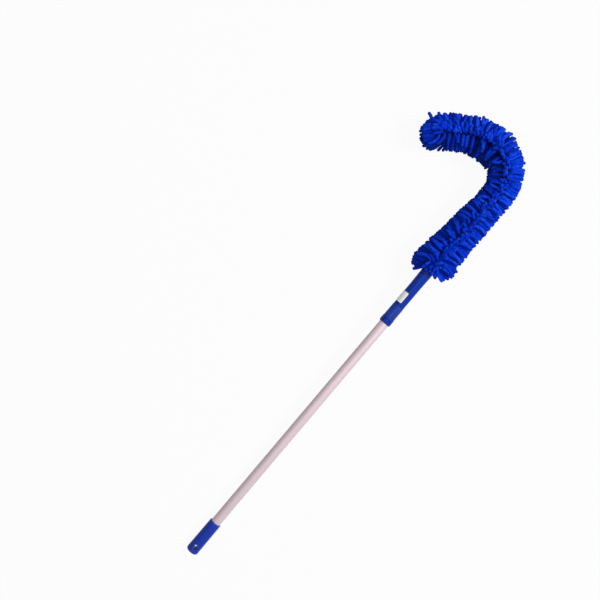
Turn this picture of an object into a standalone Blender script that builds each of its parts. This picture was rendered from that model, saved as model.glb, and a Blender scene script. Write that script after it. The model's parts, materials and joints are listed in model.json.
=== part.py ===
"""Duster: a telescopic pole with a bendable head in a washable chenille sleeve.

Lengths are in metres. The pole lies along X in its own frame, with the butt of the grip at
zero, and the head bends in the XY plane, towards +Y. The finished object is then laid on the
ground, where it rests on the butt of its grip and on the strands under its head.
"""

import itertools
import math

import bmesh
import bpy
from mathutils import Matrix, Vector

# Clearances
FIT_GAP = 0.0003            # between pieces that touch or are fixed together
TURN_GAP = 0.0005           # between pieces that turn or slide on each other
OVERRUN = 0.002             # how far a cutter runs past what it cuts
MERGE_DISTANCE = 0.000001

# Grip, a moulded sleeve on the butt of the pole
GRIP_LENGTH = 0.084
GRIP_DIAMETER = 0.028
GRIP_MOUTH_DIAMETER = 0.0272
GRIP_SOLID_LENGTH = 0.030
GRIP_EDGE_RADIUS = 0.006
GRIP_MOUTH_ROUNDING = 0.001
HANG_HOLE_LENGTH = 0.012
HANG_HOLE_WIDTH = 0.008
HANG_HOLE_FROM_BUTT = 0.016

# Outer tube and the collar on its mouth
TUBE_DIAMETER = 0.022
TUBE_WALL = 0.0005
TUBE_SHOWN_LENGTH = 0.574
COLLAR_LENGTH = 0.0165
COLLAR_DIAMETER = 0.028
COLLAR_LIP_LENGTH = 0.0045
COLLAR_BEVEL = 0.0022
COLLAR_ROUNDING = 0.0007
COLLAR_GROOVE_WIDTH = 0.0012
COLLAR_GROOVE_DEPTH = 0.0005
COLLAR_GROOVE_FROM_MOUTH = 0.0045

# Inner tube and the twist lock on its rear end
INNER_TUBE_DIAMETER = 0.019
INNER_TUBE_WALL = 0.0005
SLIDE_TRAVEL = 0.440
LOCK_SLEEVE_LENGTH = 0.026
LOCK_SLEEVE_WALL = 0.0016   # at its thin, rear end
LOCK_TAPER = 0.0018         # how much the cone narrows in radius along the sleeve
LOCK_SLOT_WIDTH = 0.002
LOCK_SLOT_SHARE = 0.7       # of the sleeve's length
SPINDLE_PLUG_LENGTH = 0.018
SPINDLE_FLANGE_LENGTH = 0.003
SPINDLE_WASHER_LENGTH = 0.0035
SPINDLE_EDGE = 0.0006
SPINDLE_RING_DEPTH = 0.0005
SPINDLE_RING_LENGTH = 0.003

# Pole socket on the front end of the inner tube
SOCKET_LENGTH = 0.031
SOCKET_DIAMETER = 0.0265
SOCKET_TUBE_SEAT = 0.016
SOCKET_ROUNDING = 0.0008

# Neck of the head
NECK_LENGTH = 0.115
NECK_REAR_DIAMETER = 0.0256
NECK_FRONT_DIAMETER = 0.028
NECK_TAPER_START = 0.055
NECK_STEP = 0.0012
NECK_SPIGOT_LENGTH = 0.014
NECK_SPIGOT_WALL = 0.0028
NECK_FRONT_ROUNDING = 0.003
NECK_WIRE_SOCKET = 0.030
LABEL_LENGTH = 0.0277
LABEL_FROM_SOCKET = 0.0075
LABEL_THICKNESS = 0.0002
LABEL_START_DEG = -14.0
LABEL_END_DEG = 86.0
LABEL_FACETS = 9

# Bendable core: a wire in a flat ribbed frame, jointed where each short stretch bends
HEAD_ROOT_LENGTH = 0.014    # from the neck to the first pivot
BEND_PITCH = 0.0434
REST_BENDS_DEG = (0, -3, 0, 0, 7, 25, 34, 31, 21, 10, 6)
WIRE_DIAMETER = 0.004
WIRE_END_GAP = 0.00015      # from a wire's rounded end to the pivot
WIRE_TIP_LENGTH = 0.012
FRAME_END_GAP = 0.002       # from a frame's end to the pivot
FRAME_HALF_WIDTH = 0.0193
FRAME_THICKNESS = 0.0026
FRAME_RIBS = 3
FRAME_RIB_SHARE = 0.66      # of the space that a rib has along the frame
FRAME_RIB_TAPER_SHARE = 0.82
FRAME_WEB_HALF_WIDTH = 0.0052
FRAME_WEB_WAIST_SHARE = 0.9
SPINE_DIAMETER = 0.0082
SPINE_BORE_GAP = 0.0004
FRAME_TIP_LENGTH = 0.016
FRAME_TIP_POINTS = 10

# Chenille sleeve: a fabric pocket on the frame, with strands in rows
POCKET_THICKNESS = 0.0018
POCKET_EASE = 0.0013        # room round the frame
POCKET_ON_NECK = 0.012      # how far the pocket reaches back over the neck
POCKET_NECK_CLEAR = 0.004   # stays round for this length, past the neck's end
POCKET_TIP_LENGTH = 0.023
CUFF_THICKNESS = 0.0014
CUFF_LENGTH = 0.010
CUFF_ROUNDING = 0.0005
HEAD_RADIUS = 0.049         # from the core to the ends of the longest strands
# Shares of it at the sleeve's rear end, at each pivot and at the tip
HEAD_RADIUS_SHARES = (0.92, 1.0, 0.91, 0.84, 0.80, 0.76, 0.78, 0.87, 0.98, 0.95, 0.86, 0.84, 0.84)
STRAND_WIDTH = 0.0082
STRAND_TIP_WIDTH = 0.0050
STRAND_SHOULDER_SHARE = 0.74
MOST_CELL_SHARE = 0.94      # of its cell that a strand may fill
STRAND_COLUMNS = 16
INNER_FACE = -1
STRAND_ROWS = 4             # in each stretch between two pivots
ROOT_ROWS = 3
TIP_ROWS = 3
ROOT_LEAN = -0.005
TIP_LEAN = 0.021
TIP_CROWN_SHARES = (1.0, 0.97, 0.80, 0.36)
TIP_POCKET_SHARES = (1.0, 0.98, 0.84, 0.42)
SLICE_GAP = 0.0004
GROUND_CUT = 0.0005         # how deep the lowest strands are cut flat on the ground

ROUND_STEPS = 32
HIDDEN_STEPS = 24
SPINE_STEPS = 12
WIRE_STEPS = 8
BUTT_STEPS = 6
EDGE_STEPS = 4
SMALL_EDGE_STEPS = 2
SLOT_END_STEPS = 8

# Places along the pole
TUBE_END = GRIP_LENGTH + TUBE_SHOWN_LENGTH + COLLAR_LENGTH - COLLAR_LIP_LENGTH - FIT_GAP
COLLAR_START = GRIP_LENGTH + TUBE_SHOWN_LENGTH
COLLAR_END = COLLAR_START + COLLAR_LENGTH
SOCKET_START = COLLAR_END + TURN_GAP
SOCKET_END = SOCKET_START + SOCKET_LENGTH
NECK_START = SOCKET_END + FIT_GAP
HEAD_START = NECK_START + NECK_LENGTH
FIRST_PIVOT = HEAD_START + HEAD_ROOT_LENGTH
LOCK_FRONT = COLLAR_END - COLLAR_LIP_LENGTH - FIT_GAP - SLIDE_TRAVEL
LOCK_REAR = LOCK_FRONT - LOCK_SLEEVE_LENGTH
INNER_TUBE_START = LOCK_FRONT + TURN_GAP + SPINDLE_FLANGE_LENGTH + FIT_GAP
INNER_TUBE_END = SOCKET_START + SOCKET_TUBE_SEAT

# Radii that follow from their neighbours
TUBE_RADIUS = TUBE_DIAMETER / 2
TUBE_BORE_RADIUS = TUBE_RADIUS - TUBE_WALL
INNER_TUBE_RADIUS = INNER_TUBE_DIAMETER / 2
INNER_BORE_RADIUS = INNER_TUBE_RADIUS - INNER_TUBE_WALL
WIRE_RADIUS = WIRE_DIAMETER / 2
POCKET_HALF_THICKNESS = SPINE_DIAMETER / 2 + POCKET_EASE + POCKET_THICKNESS
POCKET_HALF_WIDTH = FRAME_HALF_WIDTH + POCKET_EASE + POCKET_THICKNESS
SPIGOT_RADIUS = SOCKET_DIAMETER / 2 - NECK_SPIGOT_WALL
NECK_REAR_RADIUS = NECK_REAR_DIAMETER / 2
NECK_FRONT_RADIUS = NECK_FRONT_DIAMETER / 2
CUFF_INNER_RADIUS = NECK_FRONT_RADIUS + FIT_GAP
CUFF_OUTER_RADIUS = CUFF_INNER_RADIUS + CUFF_THICKNESS
POCKET_ROOT_RADIUS = CUFF_OUTER_RADIUS + FIT_GAP + POCKET_THICKNESS

BLUE_PLASTIC = (0.010, 0.030, 0.300, 1.0)
BLUE_CHENILLE = (0.003, 0.022, 0.330, 1.0)
SILVER_PAINT = (0.62, 0.56, 0.58, 1.0)
BARE_STEEL = (0.50, 0.50, 0.50, 1.0)
BLACK_PLASTIC = (0.020, 0.020, 0.022, 1.0)
PALE_PLASTIC = (0.55, 0.55, 0.53, 1.0)
PAPER_WHITE = (0.85, 0.84, 0.80, 1.0)


def clear_scene():
    for item in list(bpy.data.objects):
        bpy.data.objects.remove(item, do_unlink=True)


def new_collection(name):
    made = bpy.data.collections.new(name)
    bpy.context.scene.collection.children.link(made)
    return made


def new_material(name, colour, roughness, metallic=0.0):
    made = bpy.data.materials.new(name)
    made.use_nodes = True
    shader = made.node_tree.nodes["Principled BSDF"]
    shader.inputs["Base Color"].default_value = colour
    shader.inputs["Roughness"].default_value = roughness
    shader.inputs["Metallic"].default_value = metallic
    made.diffuse_color = colour
    return made


def add_empty(name, parent=None, place=(0, 0, 0)):
    made = bpy.data.objects.new(name, None)
    made.location = place
    made.parent = parent
    parts.objects.link(made)
    return made


def add_piece(name, mesh, parent, look):
    """An object for one piece, with a material of its own."""
    made = bpy.data.objects.new(name, mesh)
    made.parent = parent
    colour, roughness, metallic = look
    if not mesh.materials:
        mesh.materials.append(None)
    made.material_slots[0].link = "OBJECT"
    made.material_slots[0].material = new_material(name, colour, roughness, metallic)
    parts.objects.link(made)
    return made


def add_cutter(name, mesh, parent):
    made = bpy.data.objects.new(name, mesh)
    made.parent = parent
    made.hide_render = True
    made.display_type = "WIRE"
    cutters.objects.link(made)
    return made


def boolean(piece, other, operation):
    change = piece.modifiers.new(f"{operation.lower()} {other.name}", "BOOLEAN")
    change.operation = operation
    change.object = other
    change.solver = "EXACT"


def mesh_from(bm, name):
    mesh = bpy.data.meshes.new(name)
    bm.to_mesh(mesh)
    bm.free()
    return mesh


def edge_arc(centre_x, centre_r, radius, start_deg, end_deg, steps=EDGE_STEPS):
    """Points of an arc in an outline, with 0 degrees along +X and 90 degrees outwards."""
    step = (end_deg - start_deg) / steps
    angles = [math.radians(start_deg + step * i) for i in range(steps + 1)]
    return [(centre_x + radius * math.cos(a), centre_r + radius * math.sin(a)) for a in angles]


def turned(name, profile, parent, look, steps=ROUND_STEPS):
    """A piece turned about X. Its profile runs from front to rear along the outer side, then back."""
    meets_axis = profile[0][1] == 0
    bm = bmesh.new()
    corners = [bm.verts.new((x, r, 0)) for x, r in profile]
    for a, b in itertools.pairwise(corners):
        bm.edges.new((a, b))
    if not meets_axis:
        bm.edges.new((corners[-1], corners[0]))
    piece = add_piece(name, mesh_from(bm, name), parent, look)
    screw = piece.modifiers.new("turn", "SCREW")
    screw.axis = "X"
    screw.steps = steps
    screw.render_steps = steps
    screw.use_merge_vertices = True
    screw.merge_threshold = MERGE_DISTANCE
    screw.use_smooth_shade = True
    return piece


def tube_profile(start, end, bore, radius):
    return [(end, radius), (start, radius), (start, bore), (end, bore)]


def slot_mesh(name, length, width, height):
    """A slot with round ends along X, cut along Z."""
    bm = bmesh.new()
    across = width / 2
    straight = length / 2 - across
    ends = edge_arc(straight, 0, across, -90, 90, SLOT_END_STEPS)
    ends += edge_arc(-straight, 0, across, 90, 270, SLOT_END_STEPS)
    outline = [(x, y, -height / 2) for x, y in ends]
    floor = bm.faces.new([bm.verts.new(p) for p in outline])
    raised = bmesh.ops.extrude_face_region(bm, geom=[floor])["geom"]
    lifted = [g for g in raised if isinstance(g, bmesh.types.BMVert)]
    bmesh.ops.translate(bm, verts=lifted, vec=(0, 0, height))
    bmesh.ops.recalc_face_normals(bm, faces=bm.faces)
    return mesh_from(bm, name)


def box_mesh(name, low, high):
    bm = bmesh.new()
    bmesh.ops.create_cube(bm, size=1)
    for v in bm.verts:
        v.co = [a + (b - a) * (c + 0.5) for a, b, c in zip(low, high, v.co)]
    return mesh_from(bm, name)


# Pole


def make_grip(parent):
    butt = GRIP_DIAMETER / 2 - GRIP_EDGE_RADIUS
    mouth = GRIP_MOUTH_DIAMETER / 2
    rounding = GRIP_MOUTH_ROUNDING
    seat = TUBE_RADIUS + FIT_GAP
    profile = [(GRIP_SOLID_LENGTH, 0), (GRIP_SOLID_LENGTH, seat), (GRIP_LENGTH, seat)]
    profile += edge_arc(GRIP_LENGTH - rounding, mouth - rounding, rounding, 0, 90)
    profile += edge_arc(GRIP_EDGE_RADIUS, butt, GRIP_EDGE_RADIUS, 90, 180, BUTT_STEPS)
    profile += [(0, 0)]
    grip = turned("grip", profile, parent, (BLUE_PLASTIC, 0.38, 0.0))
    slot = slot_mesh("hang_hole", HANG_HOLE_LENGTH, HANG_HOLE_WIDTH, GRIP_DIAMETER + OVERRUN)
    hole = add_cutter("hang_hole", slot, parent)
    hole.location.x = HANG_HOLE_FROM_BUTT
    boolean(grip, hole, "DIFFERENCE")


def make_outer_tube(parent):
    start = GRIP_SOLID_LENGTH + FIT_GAP
    profile = tube_profile(start, TUBE_END, TUBE_BORE_RADIUS, TUBE_RADIUS)
    turned("outer_tube", profile, parent, (SILVER_PAINT, 0.35, 0.25))


def make_mouth_collar(parent):
    radius = COLLAR_DIAMETER / 2
    seat = TUBE_RADIUS + FIT_GAP
    bore = INNER_TUBE_RADIUS + TURN_GAP
    lip = COLLAR_END - COLLAR_LIP_LENGTH
    groove = COLLAR_END - COLLAR_GROOVE_FROM_MOUTH
    depth = radius - COLLAR_GROOVE_DEPTH
    edge = COLLAR_ROUNDING
    profile = [(COLLAR_END, bore)]
    profile += edge_arc(COLLAR_END - edge, radius - edge, edge, 0, 90)
    profile += [(groove, radius), (groove - COLLAR_GROOVE_WIDTH / 2, depth)]
    profile += [(groove - COLLAR_GROOVE_WIDTH, radius), (COLLAR_START + COLLAR_BEVEL, radius)]
    profile += [(COLLAR_START, radius - COLLAR_BEVEL / 2), (COLLAR_START, seat)]
    profile += [(lip, seat), (lip, bore)]
    turned("mouth_collar", profile, parent, (BLUE_PLASTIC, 0.40, 0.0))


def make_inner_tube(parent):
    profile = tube_profile(INNER_TUBE_START, INNER_TUBE_END, INNER_BORE_RADIUS, INNER_TUBE_RADIUS)
    turned("inner_tube", profile, parent, (BARE_STEEL, 0.30, 0.9), HIDDEN_STEPS)


def lock_cone_radius(x):
    """Radius of the spindle's cone, which is thick at the front of the lock sleeve."""
    share = (x - LOCK_REAR) / LOCK_SLEEVE_LENGTH
    front = TUBE_BORE_RADIUS - TURN_GAP - LOCK_SLEEVE_WALL - TURN_GAP
    return front - LOCK_TAPER * share


def make_lock_spindle(parent):
    """Plug in the inner tube's rear end, with a flange, the lock's cone and a washer behind it."""
    plug = INNER_BORE_RADIUS - FIT_GAP
    flange = INNER_TUBE_RADIUS
    front = INNER_TUBE_START + SPINDLE_PLUG_LENGTH
    ring = front - SPINDLE_RING_LENGTH
    ring_rear = ring - SPINDLE_RING_LENGTH
    groove = plug - SPINDLE_RING_DEPTH
    edge = SPINDLE_EDGE
    cone_front = LOCK_FRONT + TURN_GAP
    cone_rear = LOCK_REAR - TURN_GAP
    rear = cone_rear - SPINDLE_WASHER_LENGTH
    profile = [(front, 0), (front, plug - edge), (front - edge, plug), (ring, plug)]
    profile += [(ring, groove), (ring_rear, groove), (ring_rear, plug)]
    profile += [(cone_front + SPINDLE_FLANGE_LENGTH, plug)]
    profile += [(cone_front + SPINDLE_FLANGE_LENGTH, flange), (cone_front, flange)]
    profile += [(cone_front, lock_cone_radius(cone_front))]
    profile += [(cone_rear, lock_cone_radius(cone_rear)), (cone_rear, flange)]
    profile += [(rear + edge, flange), (rear, flange - edge), (rear, 0)]
    turned("lock_spindle", profile, parent, (BLACK_PLASTIC, 0.5, 0.0), HIDDEN_STEPS)


def make_lock_sleeve(parent):
    """Split sleeve that the spindle's cone spreads against the bore of the outer tube."""
    radius = TUBE_BORE_RADIUS - TURN_GAP
    front_bore = lock_cone_radius(LOCK_FRONT) + TURN_GAP
    rear_bore = lock_cone_radius(LOCK_REAR) + TURN_GAP
    profile = [(LOCK_FRONT, front_bore), (LOCK_FRONT, radius)]
    profile += [(LOCK_REAR, radius), (LOCK_REAR, rear_bore)]
    sleeve = turned("lock_sleeve", profile, parent, (PALE_PLASTIC, 0.5, 0.0), HIDDEN_STEPS)
    half = LOCK_SLOT_WIDTH / 2
    reach = radius + OVERRUN
    slot_end = LOCK_REAR + LOCK_SLOT_SHARE * LOCK_SLEEVE_LENGTH
    for name, across, up in (("upright_slot", half, reach), ("level_slot", reach, half)):
        low = (LOCK_REAR - OVERRUN, -across, -up)
        slot = add_cutter(name, box_mesh(name, low, (slot_end, across, up)), parent)
        boolean(sleeve, slot, "DIFFERENCE")


def make_pole_socket(parent):
    """Sleeve on the front end of the inner tube, which takes the spigot of the head's neck."""
    radius = SOCKET_DIAMETER / 2
    tube_seat = INNER_TUBE_RADIUS + FIT_GAP
    shoulder = INNER_TUBE_END + FIT_GAP
    shoulder_bore = INNER_BORE_RADIUS
    spigot_seat = SOCKET_END - NECK_SPIGOT_LENGTH - FIT_GAP
    spigot_bore = SPIGOT_RADIUS + FIT_GAP
    edge = SOCKET_ROUNDING
    profile = [(SOCKET_END, spigot_bore)]
    profile += edge_arc(SOCKET_END - edge, radius - edge, edge, 0, 90, SMALL_EDGE_STEPS)
    profile += edge_arc(SOCKET_START + edge, radius - edge, edge, 90, 180, SMALL_EDGE_STEPS)
    profile += [(SOCKET_START, tube_seat), (shoulder, tube_seat), (shoulder, shoulder_bore)]
    profile += [(spigot_seat, shoulder_bore), (spigot_seat, spigot_bore)]
    turned("pole_socket", profile, parent, (BLUE_PLASTIC, 0.40, 0.0))


# Head


def neck_radius(x):
    """The neck is straight behind and widens towards the head."""
    share = (x - NECK_START - NECK_TAPER_START) / (NECK_LENGTH - NECK_TAPER_START)
    return NECK_REAR_RADIUS + (NECK_FRONT_RADIUS - NECK_REAR_RADIUS) * min(1, max(0, share))


def make_head_neck(parent):
    edge, step = NECK_FRONT_ROUNDING, NECK_STEP
    rear, spigot = NECK_REAR_RADIUS, SPIGOT_RADIUS
    wire_bore = WIRE_RADIUS + FIT_GAP
    spigot_end = NECK_START - NECK_SPIGOT_LENGTH
    bore_end = HEAD_START - NECK_WIRE_SOCKET
    profile = [(bore_end, 0), (bore_end, wire_bore), (HEAD_START, wire_bore)]
    profile += edge_arc(HEAD_START - edge, NECK_FRONT_RADIUS - edge, edge, 0, 90)
    for x in (HEAD_START - CUFF_LENGTH, NECK_START + NECK_TAPER_START):
        profile.append((x, neck_radius(x)))
    profile += [(NECK_START + step, rear), (NECK_START, rear - step), (NECK_START, spigot)]
    profile += [(spigot_end + step, spigot), (spigot_end, spigot - step), (spigot_end, 0)]
    turned("head_neck", profile, parent, (BLUE_PLASTIC, 0.36, 0.0))


def make_label(parent):
    """Blank sticker that wraps the hook side of the neck, up to its top."""
    bm = bmesh.new()
    bmesh.ops.create_grid(bm, x_segments=1, y_segments=LABEL_FACETS, size=0.5)
    start = NECK_START + LABEL_FROM_SOCKET
    for v in bm.verts:
        x = start + (v.co.x + 0.5) * LABEL_LENGTH
        angle = math.radians(LABEL_START_DEG + (v.co.y + 0.5) * (LABEL_END_DEG - LABEL_START_DEG))
        radius = neck_radius(x) + FIT_GAP + LABEL_THICKNESS
        v.co = (x, radius * math.cos(angle), radius * math.sin(angle))
    label = add_piece("label", mesh_from(bm, "label"), parent, (PAPER_WHITE, 0.45, 0.0))
    thick = label.modifiers.new("thickness", "SOLIDIFY")
    thick.thickness = LABEL_THICKNESS
    thick.offset = 1


def make_sleeve_cuff(parent):
    """Elastic hem that holds the sleeve on the neck."""
    front = HEAD_START - NECK_FRONT_ROUNDING
    rear = front - CUFF_LENGTH
    inner, outer, edge = CUFF_INNER_RADIUS, CUFF_OUTER_RADIUS, CUFF_ROUNDING
    profile = [(front, inner), (front, outer - edge), (front - edge, outer)]
    profile += [(rear + edge, outer), (rear, outer - edge), (rear, inner)]
    turned("sleeve_cuff", profile, parent, (BLUE_CHENILLE, 0.9, 0.0), HIDDEN_STEPS)


def wire_profile(start, end):
    """A rod with round ends, both exactly on the axis."""
    ends = edge_arc(end - WIRE_RADIUS, 0, WIRE_RADIUS, 0, 90, SMALL_EDGE_STEPS)
    ends += edge_arc(start + WIRE_RADIUS, 0, WIRE_RADIUS, 90, 180, SMALL_EDGE_STEPS)
    return [(end, 0), *ends[1:-1], (start, 0)]


def make_wire(name, start, end, parent):
    turned(name, wire_profile(start, end), parent, (BARE_STEEL, 0.35, 1.0), WIRE_STEPS)


def rib_outline(start, end):
    """One long side of the frame: tapered ribs on a narrow web, from start to end."""
    space = (end - start) / FRAME_RIBS
    foot = space * FRAME_RIB_SHARE / 2
    crown = foot * FRAME_RIB_TAPER_SHARE
    points = []
    for number in range(FRAME_RIBS):
        middle = start + (number + 0.5) * space
        for x, width in ((-foot, FRAME_WEB_HALF_WIDTH), (-crown, FRAME_HALF_WIDTH)):
            points.append((middle + x, width))
        for x, width in ((crown, FRAME_HALF_WIDTH), (foot, FRAME_WEB_HALF_WIDTH)):
            points.append((middle + x, width))
        if number < FRAME_RIBS - 1:
            points.append((middle + space / 2, FRAME_WEB_HALF_WIDTH * FRAME_WEB_WAIST_SHARE))
    return points


def tip_outline(start, end):
    """One long side of the frame's tip: a quarter of an ellipse that ends at the spine's line."""
    points = []
    for number in range(FRAME_TIP_POINTS):
        angle = math.pi / 2 * number / FRAME_TIP_POINTS
        points.append((start + (end - start) * math.sin(angle), FRAME_HALF_WIDTH * math.cos(angle)))
    return points


def evaluated_mesh(item):
    bpy.context.view_layer.update()
    return bpy.data.meshes.new_from_object(item.evaluated_get(bpy.context.evaluated_depsgraph_get()))


def frame_mesh(name, side, spine_end, bore_end):
    """A flat frame from one side's outline, with a spine round the wire, bored to bore_end."""
    start = FRAME_END_GAP
    curve = bpy.data.curves.new(name, "CURVE")
    curve.dimensions = "2D"
    curve.fill_mode = "BOTH"
    curve.extrude = FRAME_THICKNESS / 2
    outline = side + [(x, -z) for x, z in reversed(side)]
    spline = curve.splines.new("POLY")
    spline.points.add(len(outline) - 1)
    for point, (x, z) in zip(spline.points, outline):
        point.co = (x, z, 0, 1)
    spline.use_cyclic_u = True
    plate = bpy.data.objects.new(name, curve)
    cutters.objects.link(plate)
    bm = bmesh.new()
    bm.from_mesh(evaluated_mesh(plate))
    bmesh.ops.remove_doubles(bm, verts=bm.verts, dist=MERGE_DISTANCE)
    bmesh.ops.rotate(bm, verts=bm.verts, matrix=Matrix.Rotation(math.pi / 2, 3, "X"))
    bmesh.ops.recalc_face_normals(bm, faces=bm.faces)
    body = bpy.data.objects.new(name, mesh_from(bm, name))
    cutters.objects.link(body)
    bore = WIRE_RADIUS + SPINE_BORE_GAP
    spine = add_cutter("spine", rod_mesh("spine", start, spine_end, SPINE_DIAMETER / 2), None)
    hole = add_cutter("wire_bore", rod_mesh("wire_bore", start - OVERRUN, bore_end, bore), None)
    boolean(body, spine, "UNION")
    boolean(body, hole, "DIFFERENCE")
    made = evaluated_mesh(body)
    made.name = name
    for scrap in (plate, body, spine, hole):
        bpy.data.objects.remove(scrap, do_unlink=True)
    return made


def rod_mesh(name, start, end, radius):
    bm = bmesh.new()
    bmesh.ops.create_cone(
        bm, cap_ends=True, segments=SPINE_STEPS, radius1=radius, radius2=radius, depth=end - start
    )
    half_facet = math.pi / SPINE_STEPS
    bmesh.ops.rotate(bm, verts=bm.verts, matrix=Matrix.Rotation(half_facet, 3, "Z"))
    bmesh.ops.rotate(bm, verts=bm.verts, matrix=Matrix.Rotation(math.pi / 2, 3, "Y"))
    bmesh.ops.translate(bm, verts=bm.verts, vec=((start + end) / 2, 0, 0))
    return mesh_from(bm, name)


# Chenille sleeve


def pocket_point(share, half_thickness, half_width):
    """Point (y, z) of the flat pocket's outline, at a share of the way round from the hook side."""
    quarter, along = divmod(share * 4, 1)
    turn = int(quarter) % 4
    if turn in (1, 3):
        along = 1 - along
    straight = half_width - half_thickness
    way = along * (straight + half_thickness * math.pi / 2)
    if way <= straight:
        y, z = half_thickness, way
    else:
        angle = (way - straight) / half_thickness
        y, z = half_thickness * math.cos(angle), straight + half_thickness * math.sin(angle)
    return (y if turn in (0, 3) else -y), (z if turn in (0, 1) else -z)


def table_value(shares, along):
    """Value between the entries of a table, at a share of its length."""
    place = min(along, 1) * (len(shares) - 1)
    index = min(int(place), len(shares) - 2)
    return shares[index] + (shares[index + 1] - shares[index]) * (place - index)


class Slice:
    """One stretch of the sleeve, along a stretch of core that bends a little at both its ends."""

    def __init__(self, number, length, rows, bend_before, bend_after, first_row):
        self.length, self.rows, self.first_row = length, rows, first_row
        self.before, self.after = math.radians(bend_before) / 2, math.radians(bend_after) / 2
        self.crown_shares = HEAD_RADIUS_SHARES[number : number + 2]

    def pocket(self, along, around, inset):
        return pocket_point(around, POCKET_HALF_THICKNESS - inset, POCKET_HALF_WIDTH - inset)

    def crown_radius(self, along):
        return HEAD_RADIUS * table_value(self.crown_shares, along)

    def lean(self, along):
        return 0

    def curvature(self):
        return (self.before + self.after) / self.length

    def place(self, along, around, height, inset=0):
        """A point on the pocket or, at height 1, on the ends of the strands."""
        y, z = self.pocket(along, around, inset)
        crown = self.crown_radius(along)
        angle = around * math.tau
        y += (crown * math.cos(angle) - y) * height
        z += (crown * math.sin(angle) - z) * height
        inside = SLICE_GAP / 2 + along * (self.length - SLICE_GAP)
        x = inside + self.lean(along) * height
        bulge = self.length * math.tan((self.before + self.after) / 4) / 2
        tilt = self.after * along - self.before * (1 - along)
        sag = -4 * bulge * along * (1 - along)
        return Vector((x - y * math.sin(tilt), sag + y * math.cos(tilt), z))


class RootSlice(Slice):
    """The first stretch: round on the neck, and flat where the frame begins. Its strands lean back."""

    def pocket(self, along, around, inset):
        clear = POCKET_ON_NECK + POCKET_NECK_CLEAR / 2
        share = max(0, (along * self.length - clear) / (self.length - clear))
        y, z = super().pocket(along, around, inset)
        radius = POCKET_ROOT_RADIUS - inset
        angle = around * math.tau
        round_y, round_z = radius * math.cos(angle), radius * math.sin(angle)
        return round_y + (y - round_y) * share, round_z + (z - round_z) * share

    def lean(self, along):
        return ROOT_LEAN * (1 - along) ** 2


class TipSlice(Slice):
    """The last stretch, closed over the frame's tip. Its strands fan out forwards."""

    def pocket(self, along, around, inset):
        y, z = pocket_point(around, POCKET_HALF_THICKNESS, POCKET_HALF_WIDTH)
        share = table_value(TIP_POCKET_SHARES, along)
        size = share * (POCKET_HALF_WIDTH - inset) / POCKET_HALF_WIDTH
        thick = (1 + share) / 2 * (POCKET_HALF_THICKNESS - inset) / POCKET_HALF_THICKNESS
        return y * thick, z * size

    def crown_radius(self, along):
        return super().crown_radius(along) * table_value(TIP_CROWN_SHARES, along)

    def lean(self, along):
        return TIP_LEAN * along


def slice_grid(bm, rows, inner_rows, closed_tip):
    """Wrap a grid's rows over the pocket's outer face and back along its inner face.

    Each corner holds its share along the slice, its share round it and its level, which is 0 on
    the outer face and INNER_FACE on the inner one.
    """
    outer = [(i / rows, 0) for i in range(rows + 1)]
    inner = [(i / inner_rows, INNER_FACE) for i in range(inner_rows + 1)]
    path = outer[::-1] + inner if closed_tip else outer + inner[::-1] + outer[:1]
    spans = len(path) - 1
    made = bmesh.ops.create_grid(bm, x_segments=spans, y_segments=STRAND_COLUMNS, size=0.5)["verts"]
    for v in made:
        along, level = path[round((v.co.x + 0.5) * spans)]
        v.co = (along, v.co.y + 0.5, level)


def raise_strands(bm, faces, part, height, width):
    """Extrude each strand's end face to a height, at a width that stays even on both sides of a bend."""
    raised = bmesh.ops.extrude_discrete_faces(bm, faces=faces)["faces"]
    for face in raised:
        middle = face.calc_center_median()
        y, z = part.place(middle.x, middle.y, height).yz
        row = part.length / part.rows * (1 - part.curvature() * y)
        column = math.tau * math.hypot(y, z) / STRAND_COLUMNS
        for v in face.verts:
            along = math.copysign(min(MOST_CELL_SHARE, width / row), v.co.x - middle.x)
            around = math.copysign(min(MOST_CELL_SHARE, width / column), v.co.y - middle.y)
            v.co.x = middle.x + along / (2 * part.rows)
            v.co.y = middle.y + around / (2 * STRAND_COLUMNS)
            v.co.z = height
    return raised


def make_slice(name, part, parent, closed_tip=False, inner_rows=1):
    """A slice of the sleeve: its pocket, with a strand on every other cell, as on a chessboard."""
    bm = bmesh.new()
    slice_grid(bm, part.rows, inner_rows, closed_tip)
    rooted = []
    for face in bm.faces:
        middle = face.calc_center_median()
        cell = int(middle.x * part.rows) + int(middle.y * STRAND_COLUMNS) + part.first_row
        if cell % 2 == 0 and all(v.co.z == 0 for v in face.verts):
            rooted.append(face)
    shoulders = raise_strands(bm, rooted, part, STRAND_SHOULDER_SHARE, STRAND_WIDTH)
    raise_strands(bm, shoulders, part, 1, STRAND_TIP_WIDTH)
    for v in bm.verts:
        along, around, level = v.co
        v.co = part.place(along, around, max(0, level), POCKET_THICKNESS if level < 0 else 0)
    bmesh.ops.remove_doubles(bm, verts=bm.verts, dist=MERGE_DISTANCE)
    bmesh.ops.holes_fill(bm, edges=bm.edges)
    bmesh.ops.recalc_face_normals(bm, faces=bm.faces)
    return add_piece(name, mesh_from(bm, name), parent, (BLUE_CHENILLE, 0.95, 0.0))


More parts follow.
